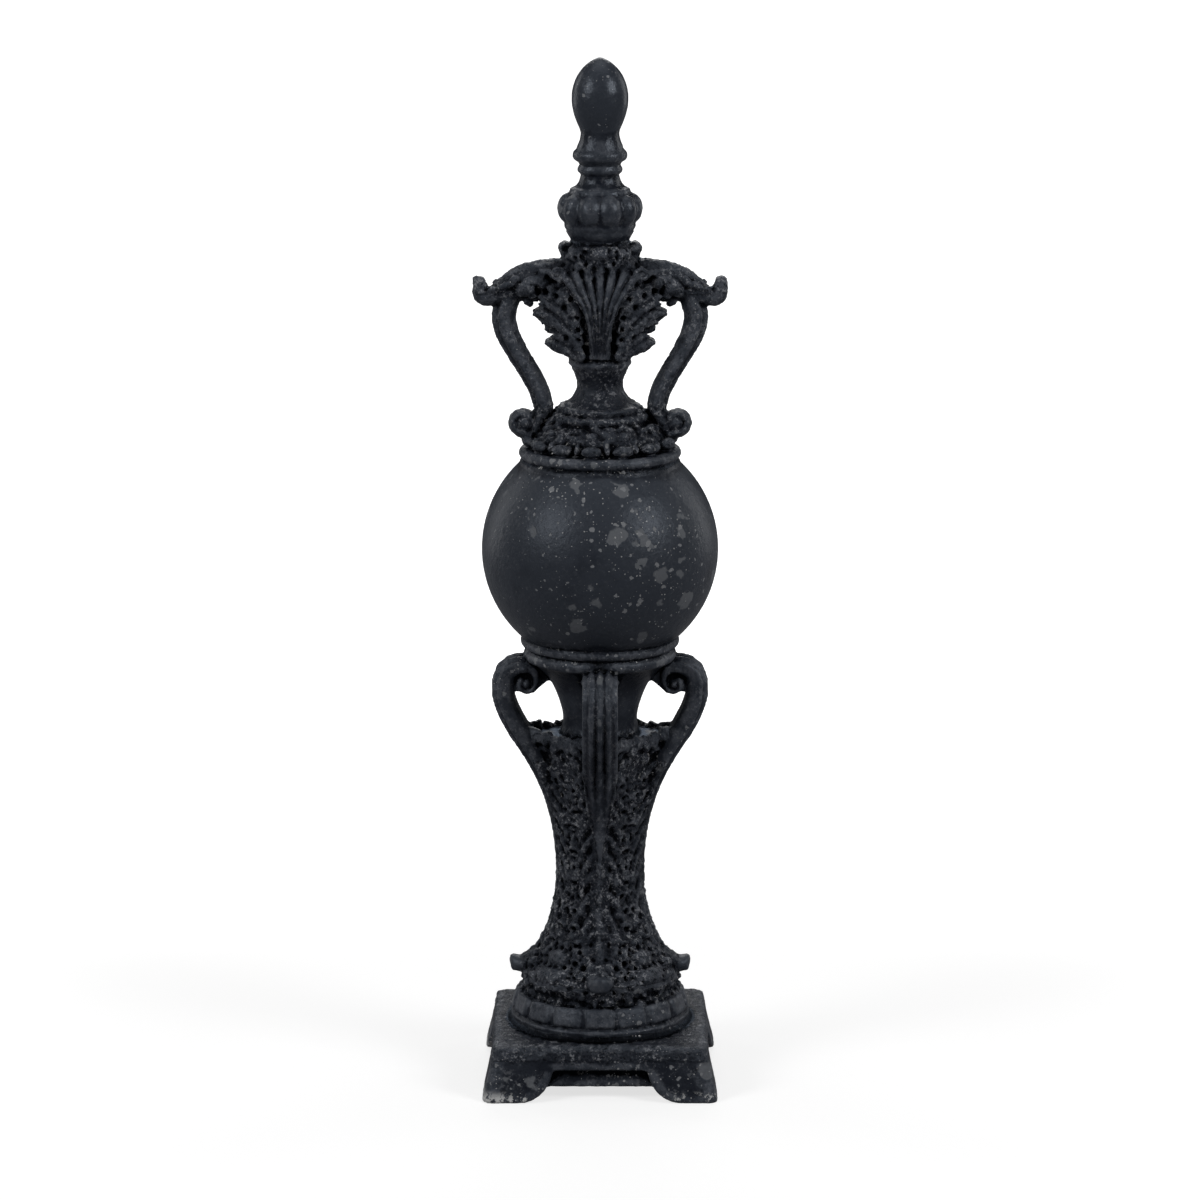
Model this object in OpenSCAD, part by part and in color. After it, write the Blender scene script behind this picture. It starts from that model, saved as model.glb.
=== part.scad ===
// Standing roof finial: bracket-footed plinth, panelled foot, acanthus shaft with four
// C-scroll brackets, ball, two-handled urn crown and bud. Cast as one piece.

/* [Plinth] */
// Width of the square base across the feet
base_w = 140; // [110:1:190]
// Width of the plinth at its top edge
plinth_top_w = 126; // [100:1:170]
// Height of the plinth
plinth_h = 30; // [24:1:40]
// Width of each corner foot pad at the floor
pad_w = 23; // [16:1:30]
// Height of the opening under the plinth
under_h = 7.3; // [4:0.1:10]
// Height of the arched recess on each face
arch_h = 18.5; // [12:0.5:22]
// Depth of the arched recess
arch_depth = 5; // [2:0.5:8]
// Radius of the plinth's upright corners
corner_r = 4; // [2:0.5:8]

/* [Round foot] */
// Diameter of the ring that sits on the plinth
foot_d = 109.4; // [90:0.2:124]
// Height of the round foot up to the leaf skirt
foot_h = 32; // [26:1:44]
// Number of raised panels round the foot
panels = 16; // [8:1:24]
// Height of each panel
panel_h = 11; // [6:0.5:14]
// How far the panels stand out
panel_relief = 1.6; // [0.6:0.1:3]

/* [Shaft] */
// Height of the leaf shaft, from the skirt to the rim
shaft_h = 151; // [120:1:190]
// Diameter of the shaft's waist across opposite ribs
waist_d = 50.6; // [40:0.2:66]
// Height of the waist above the skirt
waist_up = 60; // [40:1:80]
// Diameter of the leaf skirt
skirt_d = 94; // [80:1:104]
// Reach of the four curled leaf tips from the axis
tip_reach = 54; // [48:0.5:62]
// Diameter across the ribs at the rim
rim_d = 114.8; // [90:0.2:136]
// Width of the fluted stem at the rim
stem_w = 20.5; // [14:0.5:26]

/* [Brackets] */
// Reach of the C-scroll brackets from the axis
bracket_reach = 64; // [56:0.5:76]
// Thickness of the scroll band
bracket_t = 13.6; // [9:0.2:16]
// Radius of the scroll's volute
volute_r = 7; // [5:0.5:9]
// Distance of the volute's centre from the axis
volute_x = 43.2; // [38:0.2:50]

/* [Ball and collars] */
// Height of the trumpet between the rim and the lower collar
trumpet_h = 39; // [32:1:50]
// Smallest diameter of the trumpet
trumpet_d = 43; // [34:0.5:52]
// Diameter of the lower collar's lip
lower_collar_d = 93.6; // [80:0.2:110]
// Height of the lower collar
lower_collar_h = 15.5; // [10:0.5:20]
// Diameter of the ball
ball_d = 138.8; // [115:0.2:170]
// Diameter of the upper collar
upper_collar_d = 95; // [80:0.5:110]
// Height of the upper collar
upper_collar_h = 10.5; // [8:0.5:14]

/* [Urn] */
// Height of the leaf dome under the urn
dome_h = 25.5; // [20:0.5:34]
// Number of egg beads round the dome
eggs = 14; // [8:1:20]
// Diameter of the urn's neck
neck_d = 27.4; // [20:0.2:34]
// Height of the urn's stem, up to the leaf cup
urn_stem_h = 29; // [22:0.5:38]
// Diameter of the ring under the leaf cup
urn_ring_d = 40; // [32:0.5:50]
// Height of the leaf cup
cup_h = 66; // [52:1:80]
// Half the span of the leaf's upper side tips
leaf_reach = 39.5; // [34:0.5:42]
// Depth of the leaf cup from front to back
cup_depth = 46; // [36:1:56]

/* [Handles] */
// Reach of the handles' curled tips from the axis
handle_reach = 74.6; // [70:0.2:84]
// Distance of the strut's outer bend from the axis
strut_x = 55.8; // [53:0.2:60]
// Thickness of the strut, seen from the front
strut_t = 14; // [9:0.5:16]
// Width of the strut from front to back
strut_w = 16; // [10:0.5:24]
// Radius of the volute at the strut's foot
foot_volute_r = 9.7; // [7:0.1:12]

/* [Knob and bud] */
// Diameter of the lobed knob
knob_d = 50; // [40:0.5:60]
// Number of lobes round the knob
lobes = 10; // [6:1:16]
// Height of the knob with its cup and fillet
knob_h = 37; // [30:0.5:46]
// Height of the turned stem under the bud
stem_h = 26; // [20:0.5:34]
// Diameter of the bud
bud_d = 32.8; // [26:0.2:42]
// Height of the bud
bud_h = 44; // [34:0.5:56]

/* [Hidden] */

black = "#202126";
big = 24;      // facets round the large turnings
mid = 16;      // facets round the urn
small = 12;    // facets round the knob, stem and bud
curve = 2.1;   // power of the shaft's flare on both sides of the waist

// Levels, each stacked on the one below
skirt_z = plinth_h + foot_h;
waist_z = skirt_z + waist_up;
rim_z = skirt_z + shaft_h;
collar_z = rim_z + trumpet_h;
collar_top_z = collar_z + lower_collar_h;
ball_r = ball_d / 2;
ball_z = collar_top_z + sqrt(pow(ball_r, 2) - pow(lower_collar_d / 2, 2));
upper_z = ball_z + sqrt(pow(ball_r, 2) - pow(upper_collar_d / 2, 2));
dome_z = upper_z + upper_collar_h;
urn_z = dome_z + dome_h;
cup_z = urn_z + urn_stem_h;
knob_z = cup_z + cup_h;
stem_z = knob_z + knob_h;
bud_z = stem_z + stem_h;

// A smooth step from 0 to 1
function ease(t) = let (u = min(1, max(0, t))) u * u * (3 - 2 * u);
function mix(a, b, t) = a + (b - a) * t;

// Points along an elliptical arc in the profile plane
function arc(c, rx, rz, from, to, steps) =
    [for (i = [0:steps]) let (a = mix(from, to, i / steps)) [c[0] + rx * cos(a), c[1] + rz * sin(a)]];

// A half-round bead of height h whose crest is r from the axis
function bead(r, z, h, steps = 3) = arc([r - h / 2, z + h / 2], h / 2, h / 2, -90, 90, steps);

// Points on a smooth curve that passes through every point of p
function through(p, steps = 2) = [
    for (i = [0:len(p) - 2], s = [0:steps - 1])
        let (a = p[max(0, i - 1)], b = p[i], c = p[i + 1], d = p[min(len(p) - 1, i + 2)], t = s / steps)
        0.5 * (2 * b + (c - a) * t + (2 * a - 5 * b + 4 * c - d) * t * t + (3 * b - a - 3 * c + d) * t * t * t),
    p[len(p) - 1]
];

// Radius of the shaft's ribs at height z
function rib_r(z) = z < waist_z
    ? waist_d / 2 + (skirt_d / 2 - waist_d / 2) * pow((waist_z - z) / waist_up, curve)
    : waist_d / 2 + (rim_d / 2 - waist_d / 2) * pow((z - waist_z) / (rim_z - waist_z), curve);

// A turned solid from its profile, closed to the axis
module lathe(profile, facets) {
    last = len(profile) - 1;
    rotate_extrude($fn = facets)
        polygon(concat([[0, profile[0][1]]], profile, [[0, profile[last][1]]]));
}

// A skin over rings that all have the same number of points
module skin(rings) {
    n = len(rings[0]);
    m = len(rings);
    polyhedron(
        points = [for (ring = rings) each ring],
        faces = concat(
            [[for (j = [0:n - 1]) j]],
            [for (i = [0:m - 2], j = [0:n - 1])
                [i * n + j, (i + 1) * n + j, (i + 1) * n + (j + 1) % n, i * n + (j + 1) % n]],
            [[for (j = [n - 1:-1:0]) (m - 1) * n + j]]),
        convexity = 4);
}

// A band swept along stations [x, z, thickness, width] in the plane y = 0, its long edges chamfered
module band(stations, soft = 0.28) {
    m = len(stations);
    skin([for (i = [0:m - 1])
        let (s = stations[i],
             a = stations[max(0, i - 1)],
             b = stations[min(m - 1, i + 1)],
             run = norm([b[0] - a[0], b[1] - a[1]]),
             nx = (b[1] - a[1]) / run,
             nz = (a[0] - b[0]) / run,
             t = s[2] / 2,
             w = s[3] / 2,
             ct = t * soft * 2,
             cw = w * soft)
        [for (q = [[t, -w + cw], [t, w - cw], [t - ct, w], [-t + ct, w],
                   [-t, w - cw], [-t, -w + cw], [-t + ct, -w], [t - ct, -w]])
            [s[0] + q[0] * nx, q[1], s[1] + q[0] * nz]]]);
}

// Things set round the axis
module ring_of(count, turn = 0) {
    for (i = [0:count - 1])
        rotate([0, 0, turn + i * 360 / count])
            children();
}

// Opening between two bracket feet, seen from the front, of height h: each foot's toe is rounded
module arch(h) {
    half = base_w / 2 - pad_w;
    flat = half * 0.64;
    polygon(concat(
        [[half + 1, -1]],
        [for (i = [0:4]) let (a = 90 * i / 4) [half - (half - flat) * sin(a), h * (1 - cos(a))]],
        [for (i = [4:-1:0]) let (a = 90 * i / 4) [-half + (half - flat) * sin(a), h * (1 - cos(a))]],
        [[-half - 1, -1]]));
}

module plinth_block() {
    levels = [[0, 0], [0.4, 0.36], [0.92, 1], [1, 1.12]];
    skin([for (l = levels)
        let (w = mix(base_w, plinth_top_w, l[1]) / 2 - corner_r)
        [for (k = [0:3], i = [0:2])
            let (a = k * 90 + i * 45, s = [[1, 1], [-1, 1], [-1, -1], [1, -1]][k])
            [s[0] * w + corner_r * cos(a), s[1] * w + corner_r * sin(a), l[0] * plinth_h]]]);
}

module plinth() {
    difference() {
        plinth_block();
        for (turn = [0, 90])
            rotate([90, 0, turn])
                linear_extrude(base_w + 2, center = true)
                    arch(under_h);
        ring_of(4)
            translate([0, -base_w / 2 + arch_depth, 0])
                rotate([90, 0, 0])
                    linear_extrude(base_w / 2)
                        arch(arch_h);
    }
}

// Round foot: base ring, fillet ring, panelled band and dome
foot_r = foot_d / 2;
panel_z = plinth_h + 9.5;
module foot() {
    lathe(concat(
        bead(foot_r, plinth_h - 0.5, 6, 2),
        bead(foot_r - 1.4, plinth_h + 5.5, 3.4, 2),
        [[foot_r - 3.4, panel_z], [foot_r - 6.5, panel_z + panel_h],
            [foot_r - 10, skirt_z - 4], [foot_r - 13, skirt_z + 3]]), panels * 2);
    ring_of(panels, 90)
        panel();
}

// One panel of the band, its corners taken off
module panel() {
    half = PI * foot_r / panels - 1.6;
    low = foot_r - 3.4 + panel_relief;
    high = foot_r - 6.5 + panel_relief;
    hull() {
        translate([low - 3, 0, panel_z + 1.2])
            cube([6, half * 2, 1.6], center = true);
        translate([high - 3, 0, panel_z + panel_h - 1])
            cube([6, half * 1.8, 1.6], center = true);
    }
}

// Shaft: four ribs at the quarters with hollowed faces between them
module shaft() {
    steps = 8;
    top = rim_z - 1;
    skin([for (i = [0:steps])
        let (z = mix(skirt_z - 4, top, i / steps),
             up = (z - skirt_z) / shaft_h,
             power = mix(1.9, 1.35, ease(up * 2.2)) - 0.52 * ease((up - 0.5) * 2),
             r = rib_r(max(z, skirt_z)) - 1.2)
        [for (j = [0:big + 3])
            let (a = j * 360 / (big + 4), k = pow(pow(abs(cos(a)), power) + pow(abs(sin(a)), power), -1 / power))
            [r * k * cos(a), r * k * sin(a), z]]]);
}

// Curled tip at the bottom of a rib
module skirt_tip() {
    r = skirt_d / 2;
    band(through([[r - 16, skirt_z + 17, 6, 13], [r - 6, skirt_z + 7.5, 9, 17],
        [tip_reach - 4.6, skirt_z + 4.4, 8, 15], [tip_reach - 2.3, skirt_z + 7.6, 4.6, 11],
        [tip_reach - 1.2, skirt_z + 10, 2, 6]], 1));
}

// Rounded leaf lobe between two tips
module skirt_lobe() {
    r = skirt_d / 2;
    hull() {
        translate([r - 5, 0, skirt_z + 2])
            scale([1, 1.6, 0.7])
                sphere(6, $fn = 6);
        translate([r - 17, 0, skirt_z + 16])
            sphere(5, $fn = 6);
    }
}

module skirt() {
    lathe(concat(bead(skirt_d / 2 - 1, skirt_z - 3.5, 7, 2), [[skirt_d / 2 - 11, skirt_z + 10]]), big);
    ring_of(4)
        skirt_tip();
    ring_of(4, 45)
        skirt_lobe();
}

// One acanthus corner: a rib that widens up the shaft into the fluted stem, leaves the rim as a
// C-scroll bracket and curls in to its volute under the collar
volute_z = collar_z - 14;
module bracket() {
    low = skirt_z + 18;
    climb = 5;
    reach = bracket_reach - bracket_t / 2;
    rise = volute_z - rim_z;
    over = arc([volute_x, volute_z], reach - volute_x, collar_z - volute_z - 2.2, 12, 130, 4);
    band(concat(
        [for (i = [0:climb])
            let (z = mix(low, rim_z, i / climb), up = ease((z - waist_z) / (rim_z - waist_z) * 1.1))
            [rib_r(z) - mix(4, bracket_t / 2, up), z, mix(8, bracket_t, up), mix(7, stem_w, up)]],
        [[mix(rib_r(rim_z) - bracket_t / 2, reach, 0.72), rim_z + rise * 0.36, bracket_t, stem_w],
            [reach, rim_z + rise * 0.8, bracket_t, stem_w]],
        [for (i = [0:4]) [over[i][0], over[i][1], mix(bracket_t - 1, 7.5, i / 4), stem_w]]));
    translate([volute_x, 0, volute_z])
        rotate([90, 0, 0])
            cylinder(h = stem_w + 1.6, r = volute_r, center = true, $fn = 10);
}

// Smooth trumpet and the two beads under the ball
module trumpet() {
    r = trumpet_d / 2;
    lip = lower_collar_d / 2;
    lathe(concat(
        [[r + 0.6, rim_z - 4], [r + 0.4, rim_z + trumpet_h * 0.15],
            [r + 3.3, rim_z + trumpet_h * 0.43], [r + 7.2, rim_z + trumpet_h * 0.66],
            [lip - 7, collar_z - 2]],
        bead(lip - 1.8, collar_z, 7.4, 2),
        bead(lip, collar_z + 8.4, lower_collar_h - 8.4)), big);
}

module ball() {
    translate([0, 0, ball_z])
        lathe(arc([0, 0], ball_r, ball_r, -50, 50, 9), big + 4);
}

// Upper collar, egg beads, leaf dome and its two stepped rings
module dome() {
    r = upper_collar_d / 2;
    lathe(concat(
        bead(r, upper_z - 0.5, 4.2, 2),
        bead(r - 0.4, upper_z + 3.7, upper_collar_h - 3.4, 2),
        [[r - 4, dome_z + 1], [r - 8, dome_z + 7.5], [r - 19.5, dome_z + 16.4]],
        bead(r - 18.6, dome_z + 16.4, 4.6, 2),
        bead(r - 22.5, dome_z + 21, 4.2, 2)), mid + 4);
    ring_of(eggs, 90)
        translate([r - 6, 0, dome_z + 4])
            rotate([0, -38, 0])
                egg();
}

// One egg bead, long round the ring
module egg() {
    hull() {
        cube([6, 12, 0.4], center = true);
        translate([0, 0, 3])
            cube([2.4, 6.4, 0.4], center = true);
    }
}

// Turned urn stem: foot flare, neck and ring
module urn_stem() {
    r = neck_d / 2;
    lathe(concat(
        [[r + 7.6, urn_z - 1], [r + 3.6, urn_z + 2.8], [r, urn_z + 9.6], [r + 0.9, urn_z + 14.6],
            [r + 3.2, urn_z + 19.6]],
        bead(urn_ring_d / 2, urn_z + 22, 6.4),
        [[r + 3.5, cup_z]]), mid);
}

// Half-depth and half-width of the leaf cup's core at height z
module cup() {
    steps = 6;
    d = cup_depth / 2;
    skin([for (i = [0:steps])
        let (t = i / steps,
             z = cup_z - 1 + t * (cup_h - 4),
             x = urn_ring_d / 2 - 3 + 9.5 * sin(150 * t),
             y = mix(urn_ring_d / 2 - 3, d, sin(120 * t)))
        [for (j = [0:mid - 1]) let (a = j * 360 / mid) [x * cos(a), y * sin(a), z]]]);
    leaf();
    ring_of(2)
        palmette();
}

// Outline of one side of the leaf, [reach, height] as shares of the leaf
leaf_edge = [[0.4, -0.01], [0.68, 0.03], [0.83, 0.10], [0.74, 0.16], [0.66, 0.18], [0.8, 0.21],
    [0.84, 0.26], [1, 0.36], [0.9, 0.43], [0.82, 0.47], [0.55, 0.62]];
module leaf() {
    depth = cup_depth * 0.42;
    side = [for (e = leaf_edge) [e[0] * leaf_reach, cup_z + e[1] * cup_h]];
    rotate([90, 0, 0])
        linear_extrude(depth, center = true)
            polygon(concat(side, [for (i = [len(side) - 1:-1:0]) [-side[i][0], side[i][1]]]));
}

// Fluted stalk that fans out up the front of the cup
module palmette() {
    flutes = 3;
    for (i = [0:flutes - 1])
        let (s = i - (flutes - 1) / 2)
            hull() {
                translate([s * 4, -urn_ring_d / 2 + 3, cup_z + 2])
                    cube([3, 4, 2], center = true);
                translate([s * 11, -cup_depth / 2 + abs(s) * 2, cup_z + cup_h * (0.84 - abs(s) * 0.1)])
                    cube([8, 5, 2], center = true);
            }
}

// Ring of leaf tips that curl out under the knob
module calyx() {
    ring_of(8, 22.5)
        hull() {
            translate([14, 0, knob_z - 13])
                cube([6, 9, 8], center = true);
            translate([23, 0, knob_z - 2.6])
                cube([3, 8, 4], center = true);
        }
    lathe([[21, knob_z - 14], [19, knob_z - 4], [17, knob_z + 2]], small);
}

// One handle: leaf arm with an upturned tip, strut and outward volute on the dome
arm_z = cup_z + 42;
volute_foot_z = dome_z + 14.5;
strut_low_x = upper_collar_d / 2 - 14.5;
module handle() {
    tip = handle_reach;
    band(through([[16, arm_z - 1, 25, 20], [32, arm_z + 1, 23, 20], [45, arm_z, 20, 19],
        [strut_x, arm_z - 4.6, 15, 18], [tip - 9.5, arm_z - 9.6, 8.6, 15],
        [tip - 4, arm_z - 7.4, 7.4, 12], [tip - 2.8, arm_z - 2.4, 5.6, 9], [tip - 4, arm_z + 1.6, 2.4, 5]], 1));
    drop = arm_z - 8 - volute_foot_z;
    bend = through([[strut_x - 4.6, arm_z - 3, strut_t], [strut_x - 1, arm_z - 13, strut_t],
        [strut_x, arm_z - 22, strut_t - 0.2], [mix(strut_low_x, strut_x, 0.78), volute_foot_z + drop * 0.61, strut_t - 1.6],
        [mix(strut_low_x, strut_x, 0.4), volute_foot_z + drop * 0.42, strut_t - 2],
        [mix(strut_low_x, strut_x, 0.08), volute_foot_z + drop * 0.23, strut_t - 1.6],
        [strut_low_x - 0.6, volute_foot_z + drop * 0.06, strut_t - 2],
        [strut_low_x + 2.4, volute_foot_z - 6, strut_t - 4]], 1);
    band([for (p = bend) [p[0], p[1], p[2], strut_w]]);
    translate([strut_low_x + foot_volute_r + 1.5, 0, volute_foot_z])
        rotate([90, 0, 0])
            cylinder(h = strut_w + 2, r = foot_volute_r, center = true, $fn = 14);
}

// Lobed knob on its cup, with the fillet and cove above
module knob() {
    r = knob_d / 2;
    lathe(concat(
        [[15, knob_z - 2], [17.4, knob_z + 2], [19.6, knob_z + 6]],
        bead(r - 4.2, knob_z + 7.2, 3.6, 2),
        [[r - 8, knob_z + 14], [r - 8, knob_z + 26]],
        bead(r - 7.2, knob_z + 27.4, 4, 2),
        [[r - 11, knob_z + 32], [r - 13.4, stem_z]]), small);
    points = lobes * 2;
    skin([for (i = [0:5])
        let (a = mix(-72, 72, i / 5), z = knob_z + 19.6 + 9.4 * sin(a), out = (r - 9) + 9 * cos(a))
        [for (j = [0:points - 1])
            let (b = j * 360 / points, k = out - 2.2 * cos(a) * (j % 2))
            [k * cos(b), k * sin(b), z]]]);
}

// Turned stem of two rings
module stem() {
    r = bud_d / 2;
    lathe(concat(
        [[r - 5, stem_z - 1]],
        bead(r - 3.4, stem_z + 1, 5.2, 2),
        [[r - 4, stem_z + 8]],
        bead(r - 0.4, stem_z + 9, 6),
        [[r - 3, stem_z + 16], [r - 5.4, stem_z + 22], [r - 4.6, bud_z]]), small);
}

// Smooth bud with a blunt point
module bud() {
    r = bud_d / 2;
    lathe(through([[r - 4.6, bud_z - 0.5], [r - 1.4, bud_z + bud_h * 0.2], [r, bud_z + bud_h * 0.43],
        [r - 2.2, bud_z + bud_h * 0.68], [r - 7.6, bud_z + bud_h * 0.85], [3.6, bud_z + bud_h * 0.97],
        [0.8, bud_z + bud_h]], 1), small);
}

module finial() {
    color(black)
        union() {
            plinth();
            foot();
            skirt();
            shaft();
            ring_of(4)
                bracket();
            trumpet();
            ball();
            dome();
            urn_stem();
            cup();
            ring_of(2)
                handle();
            calyx();
            knob();
            stem();
            bud();
        }
}

finial();
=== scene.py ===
# Black cast roof finial: modelled in millimetres, joined into one casting, then scaled to metres
from math import atan2, copysign, cos, degrees, hypot, pi, radians, sin, sqrt
from random import random, seed, uniform

import bpy
import numpy as np
from mathutils import Euler, Matrix, Vector


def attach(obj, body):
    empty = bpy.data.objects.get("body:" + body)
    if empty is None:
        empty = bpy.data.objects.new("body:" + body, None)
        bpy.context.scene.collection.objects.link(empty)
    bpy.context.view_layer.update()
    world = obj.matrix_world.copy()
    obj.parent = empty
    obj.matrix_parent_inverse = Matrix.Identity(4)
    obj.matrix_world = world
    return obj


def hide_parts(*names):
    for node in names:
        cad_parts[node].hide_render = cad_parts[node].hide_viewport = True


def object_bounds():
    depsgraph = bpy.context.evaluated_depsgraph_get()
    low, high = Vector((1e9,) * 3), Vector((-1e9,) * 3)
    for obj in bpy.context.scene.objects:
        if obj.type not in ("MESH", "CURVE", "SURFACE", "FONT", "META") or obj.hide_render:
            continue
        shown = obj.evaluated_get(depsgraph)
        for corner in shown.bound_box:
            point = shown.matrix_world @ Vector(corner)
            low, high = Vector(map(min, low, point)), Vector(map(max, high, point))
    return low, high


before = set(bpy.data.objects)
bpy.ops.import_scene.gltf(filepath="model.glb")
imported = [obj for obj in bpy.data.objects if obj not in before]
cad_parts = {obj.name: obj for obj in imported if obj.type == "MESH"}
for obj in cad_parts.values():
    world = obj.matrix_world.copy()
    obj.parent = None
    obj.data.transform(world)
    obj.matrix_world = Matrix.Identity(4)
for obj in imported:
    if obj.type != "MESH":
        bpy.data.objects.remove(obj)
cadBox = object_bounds()
seed(7)

# Levels of the casting in millimetres, each stacked on the one below
plinthTop = 30.0
skirtZ = plinthTop + 32
waistZ = skirtZ + 60
rimZ = skirtZ + 151
collarZ = rimZ + 39
collarTop = collarZ + 15.5
ballR = 69.4
lowerLip = 46.8
upperLip = 47.5
waistR = 25.3  # the ribs' radius at the waist, over the skirt and at the rim
ribFootR = 47.0
ribTopR = 57.4
ballZ = collarTop + sqrt(ballR ** 2 - lowerLip ** 2)
upperZ = ballZ + sqrt(ballR ** 2 - upperLip ** 2)
domeZ = upperZ + 10.5
urnZ = domeZ + 25.5
cupZ = urnZ + 29
knobZ = cupZ + 66
stemZ = knobZ + 37
budZ = stemZ + 26
budTop = cadBox[1].z * 1000 - 0.3
casting = []  # every part made so far, joined at the end
blobShapes = {}  # round shapes by fineness, copied wherever a lump is wanted
eyeSpots = []  # drilled eyes beside the rib that faces +X: place, radius, depth, outward way
holeSpots = []  # hollows of the urn's front right quarter, the same way


def clearPick():
    bpy.ops.object.select_all(action="DESELECT")


def only(obj):
    clearPick()
    obj.select_set(True)
    bpy.context.view_layer.objects.active = obj


def keep(obj, name):
    obj.name = name
    casting.append(obj)
    return obj


def disc(corners, r=1, z=0):  # a flat disc, the only thing selected
    clearPick()
    bpy.ops.mesh.primitive_circle_add(vertices=corners, radius=r, fill_type="NGON", location=(0, 0, z))
    return bpy.context.object


def settle():
    bpy.ops.object.transform_apply(location=True, rotation=True, scale=True)


def block(size, spot=(0, 0, 0)):
    clearPick()
    bpy.ops.mesh.primitive_cube_add(size=1, location=spot)
    bpy.context.object.scale = size
    settle()
    return bpy.context.object


def editAll():
    bpy.ops.object.mode_set(mode="EDIT")
    bpy.ops.mesh.select_all(action="SELECT")


def pull(way):
    bpy.ops.mesh.extrude_region_move(TRANSFORM_OT_translate={"value": way})


def ease(t):
    t = min(1.0, max(0.0, t))
    return t * t * (3 - 2 * t)


def mix(a, b, t):
    return a + (b - a) * t


def polar(r, a, z):  # a point at radius r and a radians round from +X
    return r * cos(a), r * sin(a), z


def smoothLine(points, steps):  # a smooth curve through every point
    line = []
    for i in range(len(points) - 1):
        a, b = points[max(0, i - 1)], points[i]
        c, d = points[i + 1], points[min(len(points) - 1, i + 2)]
        for s in range(steps):
            t = s / steps
            line.append(tuple(
                0.5 * (2 * q + (r - p) * t + (2 * p - 5 * q + 4 * r - e) * t * t
                       + (3 * q - p - 3 * r + e) * t ** 3)
                for p, q, r, e in zip(a, b, c, d)))
    line.append(tuple(points[-1]))
    return line


def curve(r, z, steps, *offsets):  # a smooth profile, each point measured from r and z
    return smoothLine([(r + out, z + up) for out, up in offsets], steps)


def bead(r, z, h, steps=8):  # half-round bead with its crest at radius r
    return [(r - h / 2 + h / 2 * cos(a), z + h / 2 + h / 2 * sin(a))
            for a in (radians(-90 + 180 * i / steps) for i in range(steps + 1))]


def ribR(z):  # radius of the shaft's ribs
    if z < waistZ:
        return waistR + (ribFootR - waistR) * ((waistZ - z) / (waistZ - skirtZ)) ** 2.1
    return waistR + (ribTopR - waistR) * ((z - waistZ) / (rimZ - waistZ)) ** 2.15


def turned(name, profile, sides=128):  # a disc extruded and resized up its profile
    r, z = profile[0]
    obj = disc(sides, r, z)
    editAll()
    for nextR, nextZ in profile[1:]:
        pull((0, 0, nextZ - z))
        bpy.ops.transform.resize(value=(nextR / r, nextR / r, 1), center_override=(0, 0, nextZ))
        r, z = nextR, nextZ
    bpy.ops.object.mode_set(mode="OBJECT")
    settle()
    return keep(obj, name)


def spokeOf(v, count):  # which corner of a fresh circle a vertex stands on
    return round(atan2(-v.co.x, v.co.y) / (2 * pi / count)) % count


def bentBar(name, section, stations, side=(0, 1, 0), facing=None):
    # a straight bar bent onto its path: section is [(out, across)], stations are (x, y, z, out, across)
    # the path lies in the plane across side, unless facing says which way its outer face looks
    count = len(section)
    obj = disc(count)
    editAll()
    for _ in stations[1:]:
        pull((0, 0, 1))
    bpy.ops.object.mode_set(mode="OBJECT")
    spots = [Vector(s[:3]) for s in stations]
    flat = Vector(side).normalized()
    for v in obj.data.vertices:
        ring = round(v.co.z)
        along = (spots[min(ring + 1, len(spots) - 1)] - spots[max(ring - 1, 0)]).normalized()
        if facing is None:
            out = flat.cross(along).normalized()
        else:
            out = (facing - along * facing.dot(along)).normalized()
        across = along.cross(out)
        a, b = section[spokeOf(v, count)]
        v.co = spots[ring] + out * a * stations[ring][3] + across * b * stations[ring][4]
    return keep(obj, name)


def roundSection(count):
    return [polar(0.5, 2 * pi * i / count, 0)[:2] for i in range(count)]


def flutedSection(flutes, depth, crown, steps):
    # a band whose outer face carries grooves, its back plain and rounded
    face = []
    for i in range(steps + 1):
        b = i / steps - 0.5
        groove = depth * (0.5 - 0.5 * cos(2 * pi * flutes * (b + 0.5)))
        lip = 1 - abs(2 * b) ** 6 * 0.5
        face.append(((0.5 - groove - crown * (2 * b) ** 2) * lip, b))
    back = [(-0.3, 0.5), (-0.46, 0.4), (-0.5, 0.2), (-0.5, 0), (-0.5, -0.2), (-0.46, -0.4), (-0.3, -0.5)]
    return face + back


def blob(name, size, spot, turn=(0, 0, 0), detail=2):
    if detail not in blobShapes:  # each fineness is modelled once, then copied
        clearPick()
        bpy.ops.mesh.primitive_ico_sphere_add(subdivisions=detail, radius=0.5, location=(0, 0, 0))
        blobShapes[detail] = bpy.context.object.data
        bpy.data.objects.remove(bpy.context.object)
    obj = bpy.data.objects.new(name, blobShapes[detail].copy())
    bpy.context.collection.objects.link(obj)
    angles = Euler([radians(a) for a in turn])
    obj.data.transform(Matrix.Translation(spot) @ angles.to_matrix().to_4x4() @ Matrix.Diagonal((*size, 1)))
    return keep(obj, name)


def copyTo(obj, matrix, name):  # each copy has its own mesh
    twin = obj.copy()
    twin.data = obj.data.copy()
    bpy.context.collection.objects.link(twin)
    twin.data.transform(matrix)
    if matrix.determinant() < 0:
        twin.data.flip_normals()
    return keep(twin, name)


def around(objs, count):  # the other copies round the axis
    for obj in objs:
        for i in range(1, count):
            copyTo(obj, Matrix.Rotation(2 * pi * i / count, 4, "Z"), f"{obj.name}_{i}")


def mirrored(objs, axis="X"):
    vector = {"X": (1, 0, 0), "Y": (0, 1, 0)}[axis]
    return [copyTo(obj, Matrix.Scale(-1, 4, vector), f"{obj.name}_{axis}") for obj in objs]


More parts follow.
